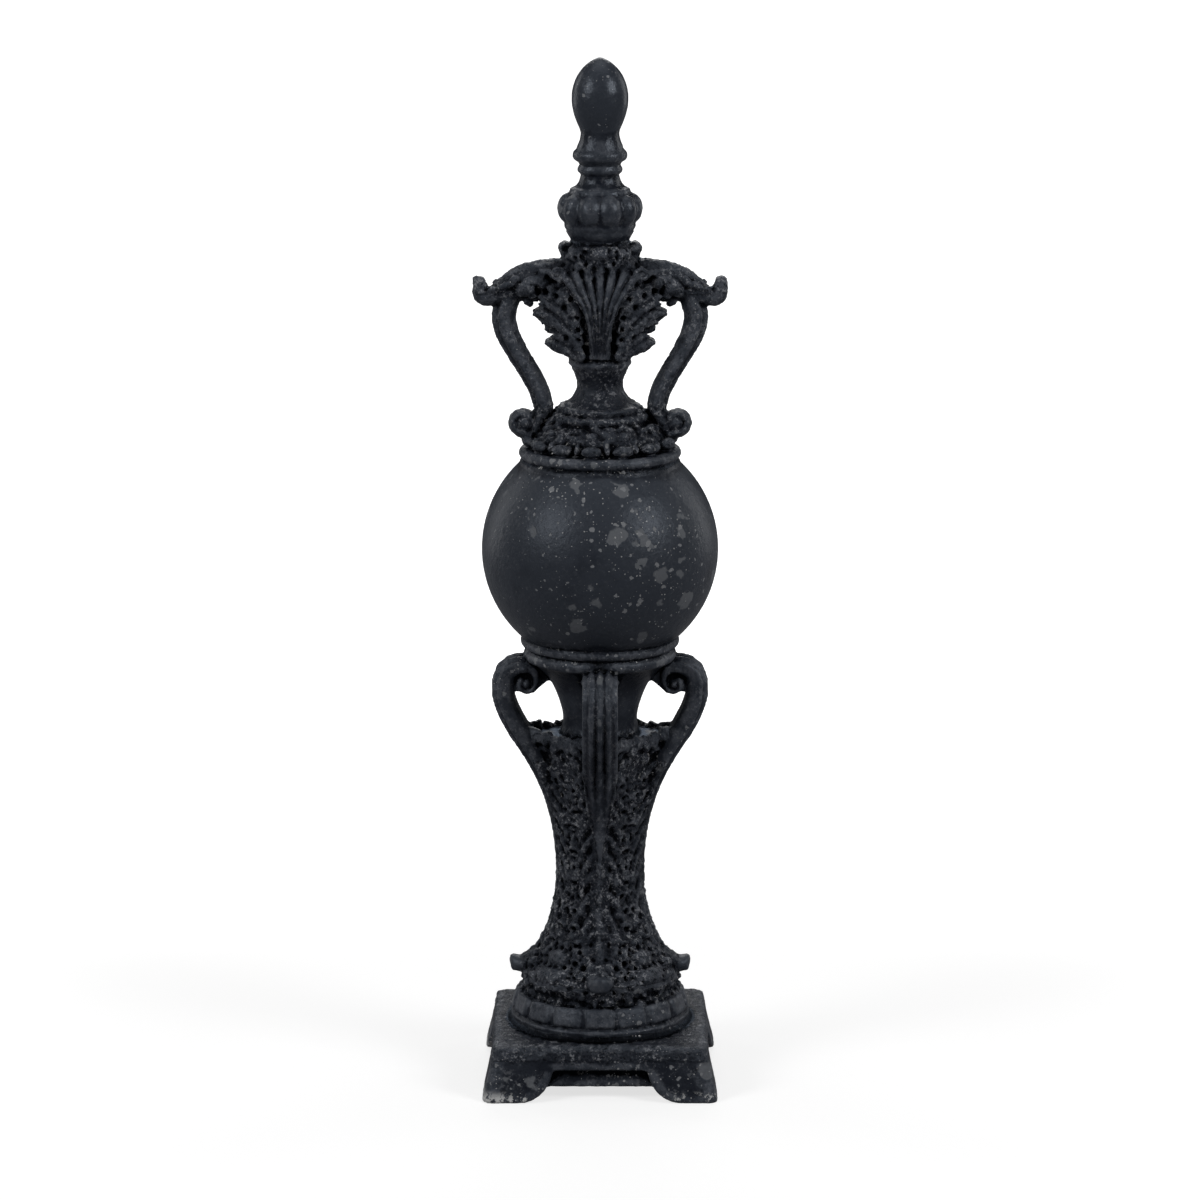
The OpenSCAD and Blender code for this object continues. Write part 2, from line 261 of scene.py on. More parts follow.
def slab(name, outline, depth, spot=0.0):  # an outline in the front plane, extruded from front to back
    count = len(outline)
    obj = disc(count)
    for v in obj.data.vertices:
        x, z = outline[spokeOf(v, count)]
        v.co = (x, spot - depth / 2, z)
    editAll()
    pull((0, depth, 0))
    bpy.ops.mesh.select_all(action="SELECT")
    bpy.ops.mesh.normals_make_consistent(inside=False)
    bpy.ops.object.mode_set(mode="OBJECT")
    return keep(obj, name)


def applyAll(obj):
    only(obj)
    for modifier in list(obj.modifiers):
        bpy.ops.object.modifier_apply(modifier=modifier.name)


def oneSkin(parts, voxel, rounds):  # joins parts under one closed, slightly softened skin
    clearPick()
    for part in parts:
        part.select_set(True)
    body = parts[0]
    bpy.context.view_layer.objects.active = body
    bpy.ops.object.join()
    remesh = body.modifiers.new("oneSkin", "REMESH")
    remesh.mode = "VOXEL"
    remesh.voxel_size = voxel
    soften = body.modifiers.new("soften", "SMOOTH")
    soften.factor = 0.5
    soften.iterations = rounds
    applyAll(body)
    return body


plinth = {"base": 139.6, "top": 126.0, "pad": 23.0, "padHeight": 18, "underRise": 7.3, "archRise": 18.5,
          "archDepth": 12.0, "body": 125.0, "corner": 6.0, "voxel": 1.1, "softness": 8, "bow": 1.6, "lift": 1.1}


def archOutline():  # the opening between two feet, from right to left
    half = plinth["base"] / 2 - plinth["pad"]
    flat = half * 0.64
    rightSide = [(half - (half - flat) * sin(a), plinth["archRise"] * (1 - cos(a)))
                 for a in (radians(9 * i) for i in range(11))]
    return rightSide + [(-x, z) for x, z in reversed(rightSide)]


def makePlinth():
    base, top, corner, pad, under = (plinth[name] for name in ("base", "top", "corner", "pad", "underRise"))
    half = base / 2
    apron = slab("plinth", [(half, 0)] + archOutline() + [(-half, 0), (-half, plinthTop), (half, plinthTop)],
                 plinth["archDepth"], -half + plinth["archDepth"] / 2)
    parts = [apron]
    for turn in (90, 180, 270):
        parts.append(copyTo(apron, Matrix.Rotation(radians(turn), 4, "Z"), f"apron_{turn}"))
    parts.append(keep(block((plinth["body"], plinth["body"], plinthTop - under), (0, 0, (under + plinthTop) / 2)),
                      "plinthBlock"))
    spot = half - pad / 2
    for sx in (-1, 1):
        for sy in (-1, 1):
            parts.append(keep(block((pad, pad, plinth["padHeight"]), (sx * spot, sy * spot,
                    plinth["padHeight"] / 2)), "plinthBlock"))
    for part in parts[1:]:
        casting.remove(part)
    oneSkin(parts, plinth["voxel"], plinth["softness"])
    for v in apron.data.vertices:
        x, y, z = v.co
        dx, dy = abs(x) - (half - corner), abs(y) - (half - corner)
        if dx > 0 and dy > 0:  # corners rounded in plan
            shrink = max(dx, dy) / hypot(dx, dy)
            x = copysign(half - corner + dx * shrink, x)
            y = copysign(half - corner + dy * shrink, y)
        up = max(0.0, z / plinthTop)  # the faces flare in a shallow hollow down to the feet
        width = mix(base, top, min(1.0, up * 1.08) ** 0.86)
        x *= width / base
        y *= width / base
        near = min(abs(x), abs(y)) / (top / 2)
        crown = ease((z - 19) / 11)  # the top edge bows up between the corners
        z += crown * (plinth["bow"] * (1 - near * near) + plinth["lift"])
        v.co = (x, y, max(0.0, z * 1.012 - 0.15))


foot = {"r": 54.7, "panels": 16, "panelHeight": 11.4, "panelWidth": 17.0, "grit": 150}


def makeFoot():
    r = foot["r"]
    bandZ = plinthTop + 9.4
    turned("foot", bead(r, plinthTop - 0.6, 5.8) + bead(r - 1.4, plinthTop + 5.4, 3.4, 5)
           + curve(r, bandZ, 3, (-3.4, -0.3), (-5.0, 1.2), (-6.2, 6), (-8.2, 11), (-9.2, 14), (-11.4, 17),
                   (-14, 24)))
    high = foot["panelHeight"]
    lean = Matrix.Rotation(radians(-17), 4, "Y")
    panel = block((5.0, foot["panelWidth"], high))
    editAll()
    bpy.ops.mesh.bevel(offset=1.5, segments=3)
    bpy.ops.object.mode_set(mode="OBJECT")
    soft = panel.modifiers.new("soft", "SUBSURF")
    soft.levels = soft.render_levels = 1
    applyAll(panel)
    for v in panel.data.vertices:  # narrower at the top, where the band leans in
        v.co.y *= 1 - 0.06 * (v.co.z / high + 0.5)
    panel.data.transform(Matrix.Translation((r - 5.8, 0, bandZ + high / 2 + 0.4)) @ lean)
    panel.data.transform(Matrix.Rotation(radians(-90), 4, "Z"))
    keep(panel, "panel")
    bar = blob("bar", (3.0, 1.7, high + 1.5), (0, 0, 0))
    bar.data.transform(Matrix.Rotation(pi / foot["panels"] - pi / 2, 4, "Z")
                       @ Matrix.Translation((r - 5.4, 0, bandZ + high / 2 + 0.4)) @ lean)
    around([panel, bar], foot["panels"])
    for i in range(foot["grit"]):  # rough ground that fills the crevice under the skirt
        a = uniform(0, 2 * pi)
        z = uniform(20.5, 28)
        d = r - 8.6 - 0.35 * (z - 20.5) + uniform(-1.2, 0.9)
        size = uniform(2.8, 5.6)
        blob(f"grit_{i}", (size, size * uniform(0.8, 1.5), size * 0.8), polar(d, a, plinthTop + z),
             (0, 0, degrees(a)), 1)


shaft = {"stemWidth": 20.5, "bandThick": 13.6, "reach": 64.0, "voluteX": 43.2, "tipReach": 53.8,
         "veins": 10, "eyes": 14, "lumps": 110, "flute": 0.17, "inset": 1.2, "skirtR": 46.0, "skirtPits": 26,
         "scallops": 64}


def facePower(z):  # how hollow the faces between the ribs are
    up = (z - skirtZ) / (rimZ - skirtZ)
    return mix(1.9, 1.35, ease(up * 2.2)) - 0.52 * ease((up - 0.5) * 2)


def squareR(r, a, n):  # radius at angle a of a rounded square whose corners reach r
    return r * (abs(cos(a)) ** n + abs(sin(a)) ** n) ** (-1 / n)


def facePoint(lateral, z, lift=0.0):  # a point of the shaft beside the rib that faces +X
    r = ribR(max(z, skirtZ)) - shaft["inset"]
    n = facePower(z)
    y = min(abs(lateral), r * 0.98)
    x = (r ** n - y ** n) ** (1 / n)
    out = Vector((x ** (n - 1), copysign(max(y, 0.01) ** (n - 1), lateral), 0)).normalized()
    return Vector((x, lateral, z)) + out * lift, out


def makeShaft():
    bottom, rings, r = skirtZ - 6, 60, 10
    body = turned("shaft", [(r, bottom + i * (rimZ - 5.5 - skirtZ + 6) / rings) for i in range(rings + 1)], 160)
    for v in body.data.vertices:
        a = atan2(v.co.y, v.co.x)
        wide = squareR(ribR(max(v.co.z, skirtZ)) - shaft["inset"], a, facePower(v.co.z))
        v.co = polar(hypot(v.co.x, v.co.y) / r * wide, a, v.co.z)


def makeStem():
    # the fluted stem climbs the rib, leaves the rim as a C-scroll and coils under the collar
    thick, reach, width = shaft["bandThick"], shaft["reach"], shaft["stemWidth"]
    cx, cz = shaft["voluteX"], collarZ - 13.6
    path = []
    for i in range(17):
        z = mix(skirtZ + 70, rimZ - 3, i / 16)
        up = ease((z - waistZ - 8) / (rimZ - waistZ - 24))
        t = mix(6, thick, up)
        path.append((ribR(z) + 0.1 - t / 2, 0, z, t, mix(6, width, up)))
    mid = reach - thick / 2
    rise = [(ribR(rimZ) - thick / 2, rimZ + 1), (mid - 2.6, rimZ + 9), (mid - 0.2, rimZ + 16.5)]
    path += [(x, 0, z, thick, width) for x, z in smoothLine(rise, 3)]
    coil = [(5, mid - cx, 13.4), (28, mid - cx - 0.2, 13.2), (50, 12.8, 12.6), (70, 12.0, 11.6), (90, 11.2, 10.4),
            (108, 10.2, 9.0), (128, 8.8, 7.4), (150, 7.0, 5.8), (175, 5.7, 4.8), (200, 5.2, 4.2), (230, 5.0, 3.8),
            (260, 4.9, 3.6), (290, 4.8, 3.5), (320, 4.7, 3.4), (350, 4.5, 3.2), (385, 4.3, 3.0), (410, 4.0, 2.4)]
    for angle, r, t in coil:
        a = radians(angle)
        path.append((cx + r * cos(a), 0, cz + r * sin(a), t, mix(width, width - 2, ease((angle - 200) / 200))))
    stem = bentBar("stem", flutedSection(4, shaft["flute"], 0.14, 40), path)
    ridge = [(ribR(z) - 1.6, 0, z, mix(5.6, 4.2, ease((z - 120) / 60)), mix(13, 9, ease((z - 90) / 60)))
             for z in (skirtZ + 12 + 6 * i for i in range(21))]
    keel = bentBar("keel", [(0.5, 0), (0.12, 0.3), (-0.1, 0.5), (-0.5, 0.45), (-0.5, -0.45), (-0.1, -0.5),
                            (0.12, -0.3)], ridge)
    web = [(cx + out, cz + up) for out, up in (
        (4.6, -4.4), (8.4, -4.6), (11.5, 3), (7, 9), (-4, 12), (-17.5, 12), (-17.5, 1.6), (-12.4, 2.0),
        (-7.4, -2.2), (-4.4, -5.2), (0, -6.4))]
    filled = slab("voluteWeb", web, width - 5.5)
    eye = blob("voluteEye", (5.6, width + 1.4, 5.6), (cx, 0, cz), detail=3)
    boss = blob("voluteBoss", (12.4, width - 2.6, 12.4), (cx, 0, cz), detail=3)
    tuft = []  # leaf curl and grains where the scroll passes under the collar
    for i, (y, x, z, size) in enumerate(((-7, 3.4, 8.6, 5.4), (-2.4, 4.0, 9.4, 5.8), (2.6, 3.8, 9.0, 5.6),
            (7.2, 3.2, 8.4, 5.2), (-9.4, 0.4, 9.6, 4.6), (9.6, 0.2, 9.4, 4.6))):
        tuft.append(blob(f"tuft_{i}", (size, size * 0.9, size * 0.7), (cx + x + 1.2, y, cz + z)))
    return [stem, keel, filled, eye, boss] + tuft


def makeLeafSide():
    # veins run down and out from the rib, each ending in a curled lobe with a drilled eye
    made = []
    for i in range(shaft["veins"]):
        top = rimZ - 16 - i * 11.6
        spread = 12.8 + 1.8 * cos(i * 1.9)
        path = []
        for s in range(9):
            t = s / 8
            spot, out = facePoint(mix(3.0, spread, t ** 0.85), top - 18 * t ** 1.2, 0.45)
            path.append((*spot, mix(3.0, 2.6, t), mix(2.0, 4.2, sin(pi * (0.12 + 0.7 * t)))))
        facing = facePoint(spread * 0.6, top - 9)[1]
        made.append(bentBar(f"vein_{i}", roundSection(8), path, facing=facing))
    z = rimZ - 22
    for i in range(shaft["eyes"]):
        z -= 6.6 + 3.6 * random()
        lateral = 13.2 + 2.6 * (random() - 0.5) + (1.6 if z < 100 else 0)
        spot, out = facePoint(lateral, z, 0.6)
        across = Vector((0, 0, 1)).cross(out)
        size = uniform(2.7, 3.9)
        start = uniform(110, 190)
        path = []
        for s in range(12):
            a = radians(start - 25 * s)
            r = size * (1 - 0.035 * s)
            p = spot + across * r * cos(a) * 1.1 + Vector((0, 0, 1)) * r * sin(a) * 0.85
            path.append((*p, 3.0 - 0.1 * s, 2.5 - 0.1 * s))
        made.append(bentBar(f"curl_{i}", roundSection(7), path, facing=out))
        eyeSpots.append((spot, uniform(1.5, 2.3), 3.8, out))
        for _ in range(2):  # smaller pits under the leaf's edge
            aside, outward = facePoint(lateral + uniform(1.5, 5.5), z + uniform(-4, 4), 0.3)
            eyeSpots.append((aside, uniform(0.9, 1.5), 2.2, outward))
    for i in range(shaft["lumps"]):  # rough ground between the leaves
        z = uniform(skirtZ + 14, rimZ - 6)
        lateral = uniform(8.5, 21 if z < rimZ - 25 else 27)
        spot, out = facePoint(lateral, z, -0.2)
        size = uniform(2.2, 4.6)
        made.append(blob(f"lump_{i}", (size, size * uniform(0.7, 1.5), size * uniform(0.7, 1.4)), spot,
                         (0, 0, uniform(0, 90)), 1))
    return made


def makeSkirt():
    r = shaft["skirtR"]
    turned("skirt", curve(r, skirtZ, 4, (-8, -7), (-2, -5), (0.6, -1.5), (0, 2.5), (-4, 6.5), (-9, 12), (-16, 20)))
    tip = shaft["tipReach"]
    rolled = [(x, 0, skirtZ + up, t, w) for x, up, t, w in (
        (r - 17, 19, 7, 13), (r - 11, 12.4, 8.5, 17), (r - 4.5, 6.6, 9.6, 18), (tip - 8, 4.2, 10.0, 16),
        (tip - 5.2, 4.4, 10.0, 14.5), (tip - 3.4, 6.0, 8.2, 12.5), (tip - 2.2, 7.9, 5.2, 9),
        (tip - 1.9, 9.2, 3.0, 5))]
    leafTip = bentBar("leafTip", roundSection(16), smoothLine(rolled, 3))
    lens = blob("tipLens", (4.6, 13.6, 7.4), (tip - 2.9, 0, skirtZ + 3.4), (0, -14, 0), 3)
    made = [leafTip, lens]
    for side in (-1, 1):  # leaf folds between the tip and the lobes
        for i, (a, z, size) in enumerate(((17, 7.5, (8, 9, 10)), (25, 3.5, (7, 8, 7)), (21, 14.5, (6, 6.5, 11)),
                                          (13, 15.5, (5, 4.5, 12)), (30, 9.5, (6, 7, 8)))):
            angle = radians(a * side)
            d = r - 5.4 if z < 9 else r - 12.0
            made.append(blob(f"fold_{side}_{i}", size, polar(d, angle, skirtZ + z), (0, -28, a * side)))
    for a, d, z, radius in ((15, r - 6.5, 11, 2.4), (24, r - 8.5, 6.5, 2.0), (33, r - 7.5, 10, 1.8)):
        angle = radians(a)  # dark hollows drilled over the folds
        eyeSpots.append((Vector(polar(d, angle, skirtZ + z)), radius, 4.5,
                         Vector(polar(1, angle, 0.55)).normalized()))
    for i in range(shaft["skirtPits"]):  # small hollows scattered over the skirt
        angle = radians(uniform(5, 45))
        z = uniform(-2, 24)
        d = mix(r, r - 16, ease(z / 24))
        eyeSpots.append((Vector(polar(d, angle, skirtZ + z)), uniform(0.9, 2.0), uniform(1.8, 3.4),
                         Vector(polar(1, angle, 0.4)).normalized()))
    around(made, 4)
    angle = radians(45)
    lobe = blob("shieldLobe", (10.5, 24, 13.5), polar(r - 5.2, angle, skirtZ + 3.2), (0, -30, 45), 3)
    upper = blob("shieldTop", (10, 16, 15), polar(r - 13, angle, skirtZ + 13), (0, -38, 45), 3)
    around([lobe, upper], 4)
    for i in range(shaft["scallops"]):  # uneven lower edge and knobbly folds
        a = radians(i * 360 / shaft["scallops"] + uniform(-2, 2))
        high = i % 2
        d = r + uniform(-2.2, 0.2) - (3.5 if high else 0)
        size = uniform(4.0, 6.8)
        blob(f"scallop_{i}", (size, size * 1.1, size * 0.8), polar(d, a, skirtZ + uniform(-5, -1.5)
                + (8.5 if high else 0)), detail=1)


def makeRim():
    # the ragged leaf edge between two brackets, ending against the inside of each
    made = []
    n = facePower(rimZ)
    steps = 30
    path = []
    for i in range(steps + 1):
        a = radians(8 + 74 * i / steps)
        wave = 1.5 * sin(i * 1.15) + 0.7 * sin(i * 2.9 + 1)
        rise = 2.4 * (abs(i / steps - 0.5) * 2) ** 2
        path.append((*polar(squareR(ribR(rimZ) - 6.5, a, n), a, rimZ - 6.4 + wave + rise), 5.2 + 0.8 * sin(i * 1.9),
                     5.4 + 1.2 * cos(i * 1.3)))
    made.append(bentBar("rim", roundSection(9), path, side=(0, 0, 1)))
    for i in range(7):
        a = radians(14 + 10.3 * i)
        z = rimZ - 8 + 1.8 * sin(i * 2.4) + 2.4 * (abs(i - 3) / 3) ** 2
        made.append(blob(f"rim_{i}", (5.0, 7.4, 9.5), polar(squareR(ribR(rimZ) - 5.6, a, n), a, z),
                         (0, -24, 14 + 10.3 * i)))
    around(made, 4)


trumpet = {"throat": 21.5}


def makeTrumpetAndBall():
    r, lip = trumpet["throat"], lowerLip
    turned("trumpet", curve(r, rimZ, 5, (3, -8), (0.7, 0), (0.6, 7), (3.3, 16.8), (7.4, 26), (13, 33),
                            (lip - 7 - r, collarZ - 1 - rimZ))
           + bead(lip - 1.8, collarZ, 7.6) + bead(lip, collarZ + 8.2, collarTop - collarZ - 8.2)
           + [(lip - 3, collarTop + 1)])
    clearPick()
    bpy.ops.mesh.primitive_uv_sphere_add(segments=128, ring_count=96, radius=ballR, location=(0, 0, ballZ))
    settle()
    keep(bpy.context.object, "ball")


urn = {"eggs": 14, "eggR": 41.4, "leafReach": 39.0, "leafHeight": 66, "deep": 0.84, "domeLumps": 170, "strand": 5.4,
       "baseLeaves": 30, "groundLumps": 46, "sideLumps": 26}


def makeDome():
    r = upperLip
    turned("dome", [(r - 6, upperZ - 3)] + bead(r - 0.4, upperZ - 0.6, 3.2, 6) + bead(r, upperZ + 3.6, 6.4)
           + curve(r, domeZ, 4, (-3.4, -0.3), (-6.4, -0.4), (-8.6, 1.5), (-9.2, 5), (-10.4, 8.2), (-14.5, 11.8),
                   (-19.6, 15.4))
           + bead(r - 19.0, domeZ + 15.8, 4.4, 6) + bead(r - 23.2, domeZ + 20.8, 3.8, 6)
           + curve(0, urnZ, 4, (r - 26.8, -0.6), (20.2, 0.2), (17.2, 2.6), (14.8, 6), (13.5, 9.8), (13.6, 13.6),
                   (15.2, 18.2), (16.4, 20.6))
           + bead(18.2, urnZ + 21.6, 5.2) + [(17.6, cupZ - 0.5), (17.6, cupZ + 4)])
    egg = blob("egg", (9.6, 12.2, 6.6), (urn["eggR"], 0, domeZ + 3.4), (0, -20, 0), 3)
    shell = blob("eggShell", (4.4, 3.0, 6.4), (urn["eggR"] - 1.6, 0, domeZ + 4.0), (0, -25, 0))
    shell.data.transform(Matrix.Rotation(pi / urn["eggs"], 4, "Z"))
    for obj in (egg, shell):
        obj.data.transform(Matrix.Rotation(radians(6), 4, "Z"))
    around([egg, shell], urn["eggs"])
    for i in range(urn["domeLumps"]):  # worn leaves laid over the dome, knobbly and pitted
        a = uniform(0, 2 * pi)
        up = uniform(0.12, 1)
        d = mix(r - 9.5, r - 19, up) + uniform(-0.6, 1.4)
        z = domeZ + mix(6.5, 16, up ** 1.2)
        size = uniform(3.0, 6.6)
        blob(f"domeLump_{i}", (size, size * uniform(0.8, 1.7), size * 0.75), polar(d, a, z),
             (0, -35, degrees(a) + uniform(-30, 30)), 1)
    for sx in (-1, 1):  # leaf curls between the scrolls and the neck
        for i in range(urn["baseLeaves"]):
            y = uniform(-15, 15)
            x = uniform(17, 30)
            d = hypot(x, y)
            z = mix(domeZ + 24.5, domeZ + 12, ease((d - 19) / 15)) + uniform(-1.5, 1)
            size = uniform(3.5, 6.5)
            blob(f"baseLeaf_{sx}_{i}", (size, size * 0.9, size * 0.8), (sx * x, y, z), detail=1)


def leafBar(name, points, width, thick, flutes, facing=(0, -1, 0)):
    # one tapering lobe of a leaf: points are (x, y, z, share of the full width)
    path = [(x, y, z, thick * (0.45 + 0.55 * w), width * w) for x, y, z, w in smoothLine(points, 4)]
    section = roundSection(12) if flutes == 0 else flutedSection(flutes, 0.22, 0.4, 18)
    return bentBar(name, section, path, facing=Vector(facing))


def makeCup():
    cup = turned("cup", curve(0, cupZ, 5, (17.4, -3), (19.6, 2), (20.5, 8), (21.2, 20), (22.5, 32), (23.6, 42),
                              (23, 52), (20, 60), (16, 66)))
    for v in cup.data.vertices:
        v.co.x *= 1.03
        v.co.y *= urn["deep"]
    reach = urn["leafReach"]
    blade = [(0.36, -0.03), (0.66, 0.02), (0.74, 0.05), (0.83, 0.10), (0.78, 0.135), (0.70, 0.15), (0.645, 0.18),
             (0.74, 0.19), (0.83, 0.215), (0.81, 0.26), (0.9, 0.30), (1.0, 0.355), (0.94, 0.40), (0.85, 0.43),
             (0.84, 0.49), (0.6, 0.62)]
    side = [(x * reach, cupZ + z * urn["leafHeight"]) for x, z in blade]
    leafBlade = slab("leafBlade", side + [(-x, z) for x, z in reversed(side)], 11)
    for v in leafBlade.data.vertices:  # each leaf's edge lies forward of the cup's middle
        v.co.y *= 1 - 0.25 * (abs(v.co.x) / reach) ** 2
    made = []
    for i in range(-3, 4):  # the fluted stalk fans out like a fountain
        k = abs(i)
        high = cupZ + 55 - 0.9 * k ** 2
        path = [(1.6 * i, -18.2, cupZ - 0.5, 0.44), (1.7 * i, -20.0, cupZ + 10, 0.46),
                (2.1 * i, -21.8, cupZ + 21, 0.56), (3.1 * i, -22.8 + 0.2 * k, cupZ + 31, 0.82),
                (5.0 * i, -22.0 + 0.7 * k, cupZ + 40, 1.0), (6.9 * i, -19.8 + 1.2 * k, mix(cupZ + 47, high, 0.35),
                0.9), (7.8 * i, -17.8 + 1.5 * k, high - 4, 0.5)]
        made.append(leafBar(f"strand_{i + 3}", path, urn["strand"], 5.8, 0))
    lobes = (  # tip, start of each strand of the side leaves, and its fullness
        ((39.0, -5.5, 24.0), (9.5, -17.5, 1), 5.6), ((35.5, -7.5, 30.0), (9.8, -18.0, 8), 5.4),
        ((33.8, -7.5, 19.2), (9.3, -17.0, -1), 5.0), ((30.5, -10.5, 34.5), (10.2, -18.5, 15), 5.0),
        ((31.6, -5.5, 6.8), (10.5, -15.5, -2), 5.4), ((28.5, -8.5, 11.6), (10, -16.2, -1), 4.6),
        ((26.0, -8.0, 3.4), (11, -14.5, -3), 4.6), ((24.6, -15.0, 37.5), (11.4, -18.5, 23), 5.2),
    )
    for k, (tip, start, width) in enumerate(lobes):
        for s in (-1, 1):
            dx, dy, dz = tip[0] - start[0], tip[1] - start[1], tip[2] - start[2]
            path = [(start[0], start[1], cupZ + start[2], 0.55),
                    (start[0] + 0.22 * dx, start[1] - 0.6 + 0.1 * dy, cupZ + start[2] + 0.5 * dz, 0.8),
                    (start[0] + 0.5 * dx, start[1] - 0.8 + 0.36 * dy, cupZ + start[2] + 0.86 * dz, 1.0),
                    (start[0] + 0.8 * dx, start[1] + 0.74 * dy, cupZ + start[2] + 1.04 * dz, 0.85),
                    (*tip[:2], cupZ + tip[2], 0.35)]
            made.append(leafBar(f"leafLobe_{k}_{s}", [(s * x, y, z, w) for x, y, z, w in path], width, 4.6, 0))
    for i in range(urn["groundLumps"]):  # knobbly ground between the lobes
        z = uniform(4, 42)
        x = uniform(8 + 0.25 * z, 22 + 0.1 * z)
        size = uniform(2.6, 4.8)
        for s in (-1, 1):
            spot = (s * (x + uniform(-0.5, 0.5)), -19.0 + 0.012 * x * x, cupZ + z)
            made.append(blob(f"ground_{i}_{s}", (size,) * 3, spot, detail=1))
    for x, y, z, size in ((27.5, -10, 44, 2.8), (31.5, -9.5, 38, 2.6), (25, -13, 36, 2.2), (20.5, -17, 30, 2.2),
                          (13.2, -19, 24, 2.0), (12.6, -19, 17, 1.9), (12.4, -18.5, 11, 1.7), (16.5, -18, 35, 2.0),
                          (21, -16, 43, 2.2), (19.5, -16.5, 12, 1.7), (25.5, -11, 16, 1.6), (36, -8.5, 37, 2.0),
                          (30, -9, 46, 2.0)):
        holeSpots.append((Vector((x, y, cupZ + z)), size, 4.2, Vector((0.35, -0.94, 0)).normalized()))
    for s in (-1, 1):  # a small curl beside each arm
        path = []
        for i in range(15):
            a = radians(200 - 28 * i)
            d = 4.2 * (1 - 0.045 * i)
            path.append((s * (24.5 + d * cos(a)), -15.5, cupZ + 48.5 + d * sin(a), 3.4, 3.0 - 0.08 * i))
        made.append(bentBar(f"cupCurl_{s}", roundSection(8), path, facing=Vector((0, -1, 0))))
    for obj in made:
        copyTo(obj, Matrix.Rotation(pi, 4, "Z"), obj.name + "_rear")
    for sx in (-1, 1):  # small leaves on the cup's sides, under the arms
        for s, z in ((-5.5, 14), (5.5, 14), (0, 22), (-6, 30), (6, 30)):
            blob(f"sideLeaf_{sx}_{s}_{z}", (9, 6.5, 13), (sx * 21.5, s, cupZ + z), (0, sx * 24, 0))
        for i in range(urn["sideLumps"]):
            y, z = uniform(-9, 9), uniform(0, 40)
            blob(f"sideLump_{sx}_{i}", (uniform(3, 5.5),) * 3, (sx * (20.5 + 0.06 * z), y, cupZ + z), detail=1)


calyx = {"lumps": 44, "hollows": 16, "throatR": 20.5}


def makeCalyx():
    # leaf tips curl out under the knob, over a rough leafy throat
    turned("calyxThroat", curve(0, knobZ, 4, (17, -22), (20.6, -16), (20.4, -10), (19.2, -4), (17.2, 0.5),
                                (15.5, 2)))
    made = []
    for i, (a, reach, lift, wide) in enumerate(((0, 24.4, 0.4, 12), (44, 23.0, -2.4, 10), (90, 23.6, -0.6, 10),
                                                (135, 23.0, -2.0, 10))):
        path = smoothLine([(reach - 9.5, 0, knobZ - 20, 6, wide * 0.8),
                           (reach - 6.5, 0, knobZ - 14 + lift, 6.4, wide * 0.95),
                           (reach - 4.6, 0, knobZ - 9.5 + lift, 6.2, wide),
                           (reach - 3.4, 0, knobZ - 6.5 + lift, 5.4, wide)], 3)
        tip = bentBar(f"calyx_{i}", flutedSection(2, 0.2, 0.3, 18), path)
        middle = reach - 4.8
        spiral = []  # the tip rolls outward on itself
        for k in range(13):
            angle = radians(-30 + 36 * k)
            d = 3.5 * (1 - 0.055 * k)
            spiral.append((middle + d * cos(angle), 0, knobZ - 4.2 + lift + d * sin(angle), 3.0 - 0.1 * k,
                           wide * (1 - 0.02 * k)))
        roll = bentBar(f"calyxRoll_{i}", roundSection(8), spiral)
        heart = blob(f"calyxHeart_{i}", (6.2, wide - 2.5, 6.2), (middle, 0, knobZ - 4.2 + lift), detail=3)
        for obj in (tip, roll, heart):
            obj.data.transform(Matrix.Rotation(radians(a), 4, "Z"))
            made.append(obj)
    for i in range(calyx["lumps"]):
        a = radians(uniform(0, 180))
        z = uniform(-19, -2)
        size = uniform(3.0, 5.4)
        d = 20.2 + uniform(-1, 1.2) - 0.12 * max(0, z + 8)
        made.append(blob(f"throatLump_{i}", (size, size, size * 1.1), polar(d, a, knobZ + z), detail=1))
    for i in range(calyx["hollows"]):  # small dark hollows between the tips
        a = radians(uniform(8, 82))
        out = Vector(polar(1, a, 0))
        holeSpots.append((out * calyx["throatR"] + Vector((0, 0, knobZ + uniform(-18, -3))), uniform(0.9, 1.6), 2.8,
                          out))
    for obj in made:
        copyTo(obj, Matrix.Rotation(pi, 4, "Z"), obj.name + "_far")


knob = {"r": 25.0, "lobes": 10}


def makeKnobToBud():
    turned("knobCup", curve(0, knobZ, 3, (15, -6), (16.4, 0), (18, 3), (19.8, 6)) + bead(20.9, knobZ + 7.4, 3.8)
           + [(20.4, knobZ + 11.5), (21.0, knobZ + 19), (20.8, knobZ + 23.5), (19.6, knobZ + 27)]
           + bead(17.8, knobZ + 27.6, 3.8, 6)
           + smoothLine([(14.4, knobZ + 32), (12.4, knobZ + 34.6), (11.5, stemZ + 0.6)], 3)
           + bead(13.2, stemZ + 2.6, 4.8) + [(12.3, stemZ + 8.4)] + bead(16.0, stemZ + 9.6, 7.4)
           + curve(0, budZ, 4, (13.6, -8), (12.2, -5), (11.2, -1), (11.6, 2), (12.9, 5), (14.8, 10), (16.1, 15.4),
                   (16.4, 20), (16.1, 24.5), (15, 29), (13.0, 33.5), (10.2, 37.4), (6.9, 40.5),
                   (3.6, budTop - 1.1 - budZ), (1.2, budTop - budZ)), 96)
    for i in range(knob["lobes"]):  # with a valley between two lobes to the front
        a = radians(360 / knob["lobes"] * (i + 0.5) + 90)
        lobe = blob(f"lobe_{i}", (14.5, 14.6, 18.4), (0, 0, 0), detail=3)
        lobe.data.transform(Matrix.Rotation(a, 4, "Z") @ Matrix.Translation((knob["r"] - 7.4, 0, knobZ + 19.4)))


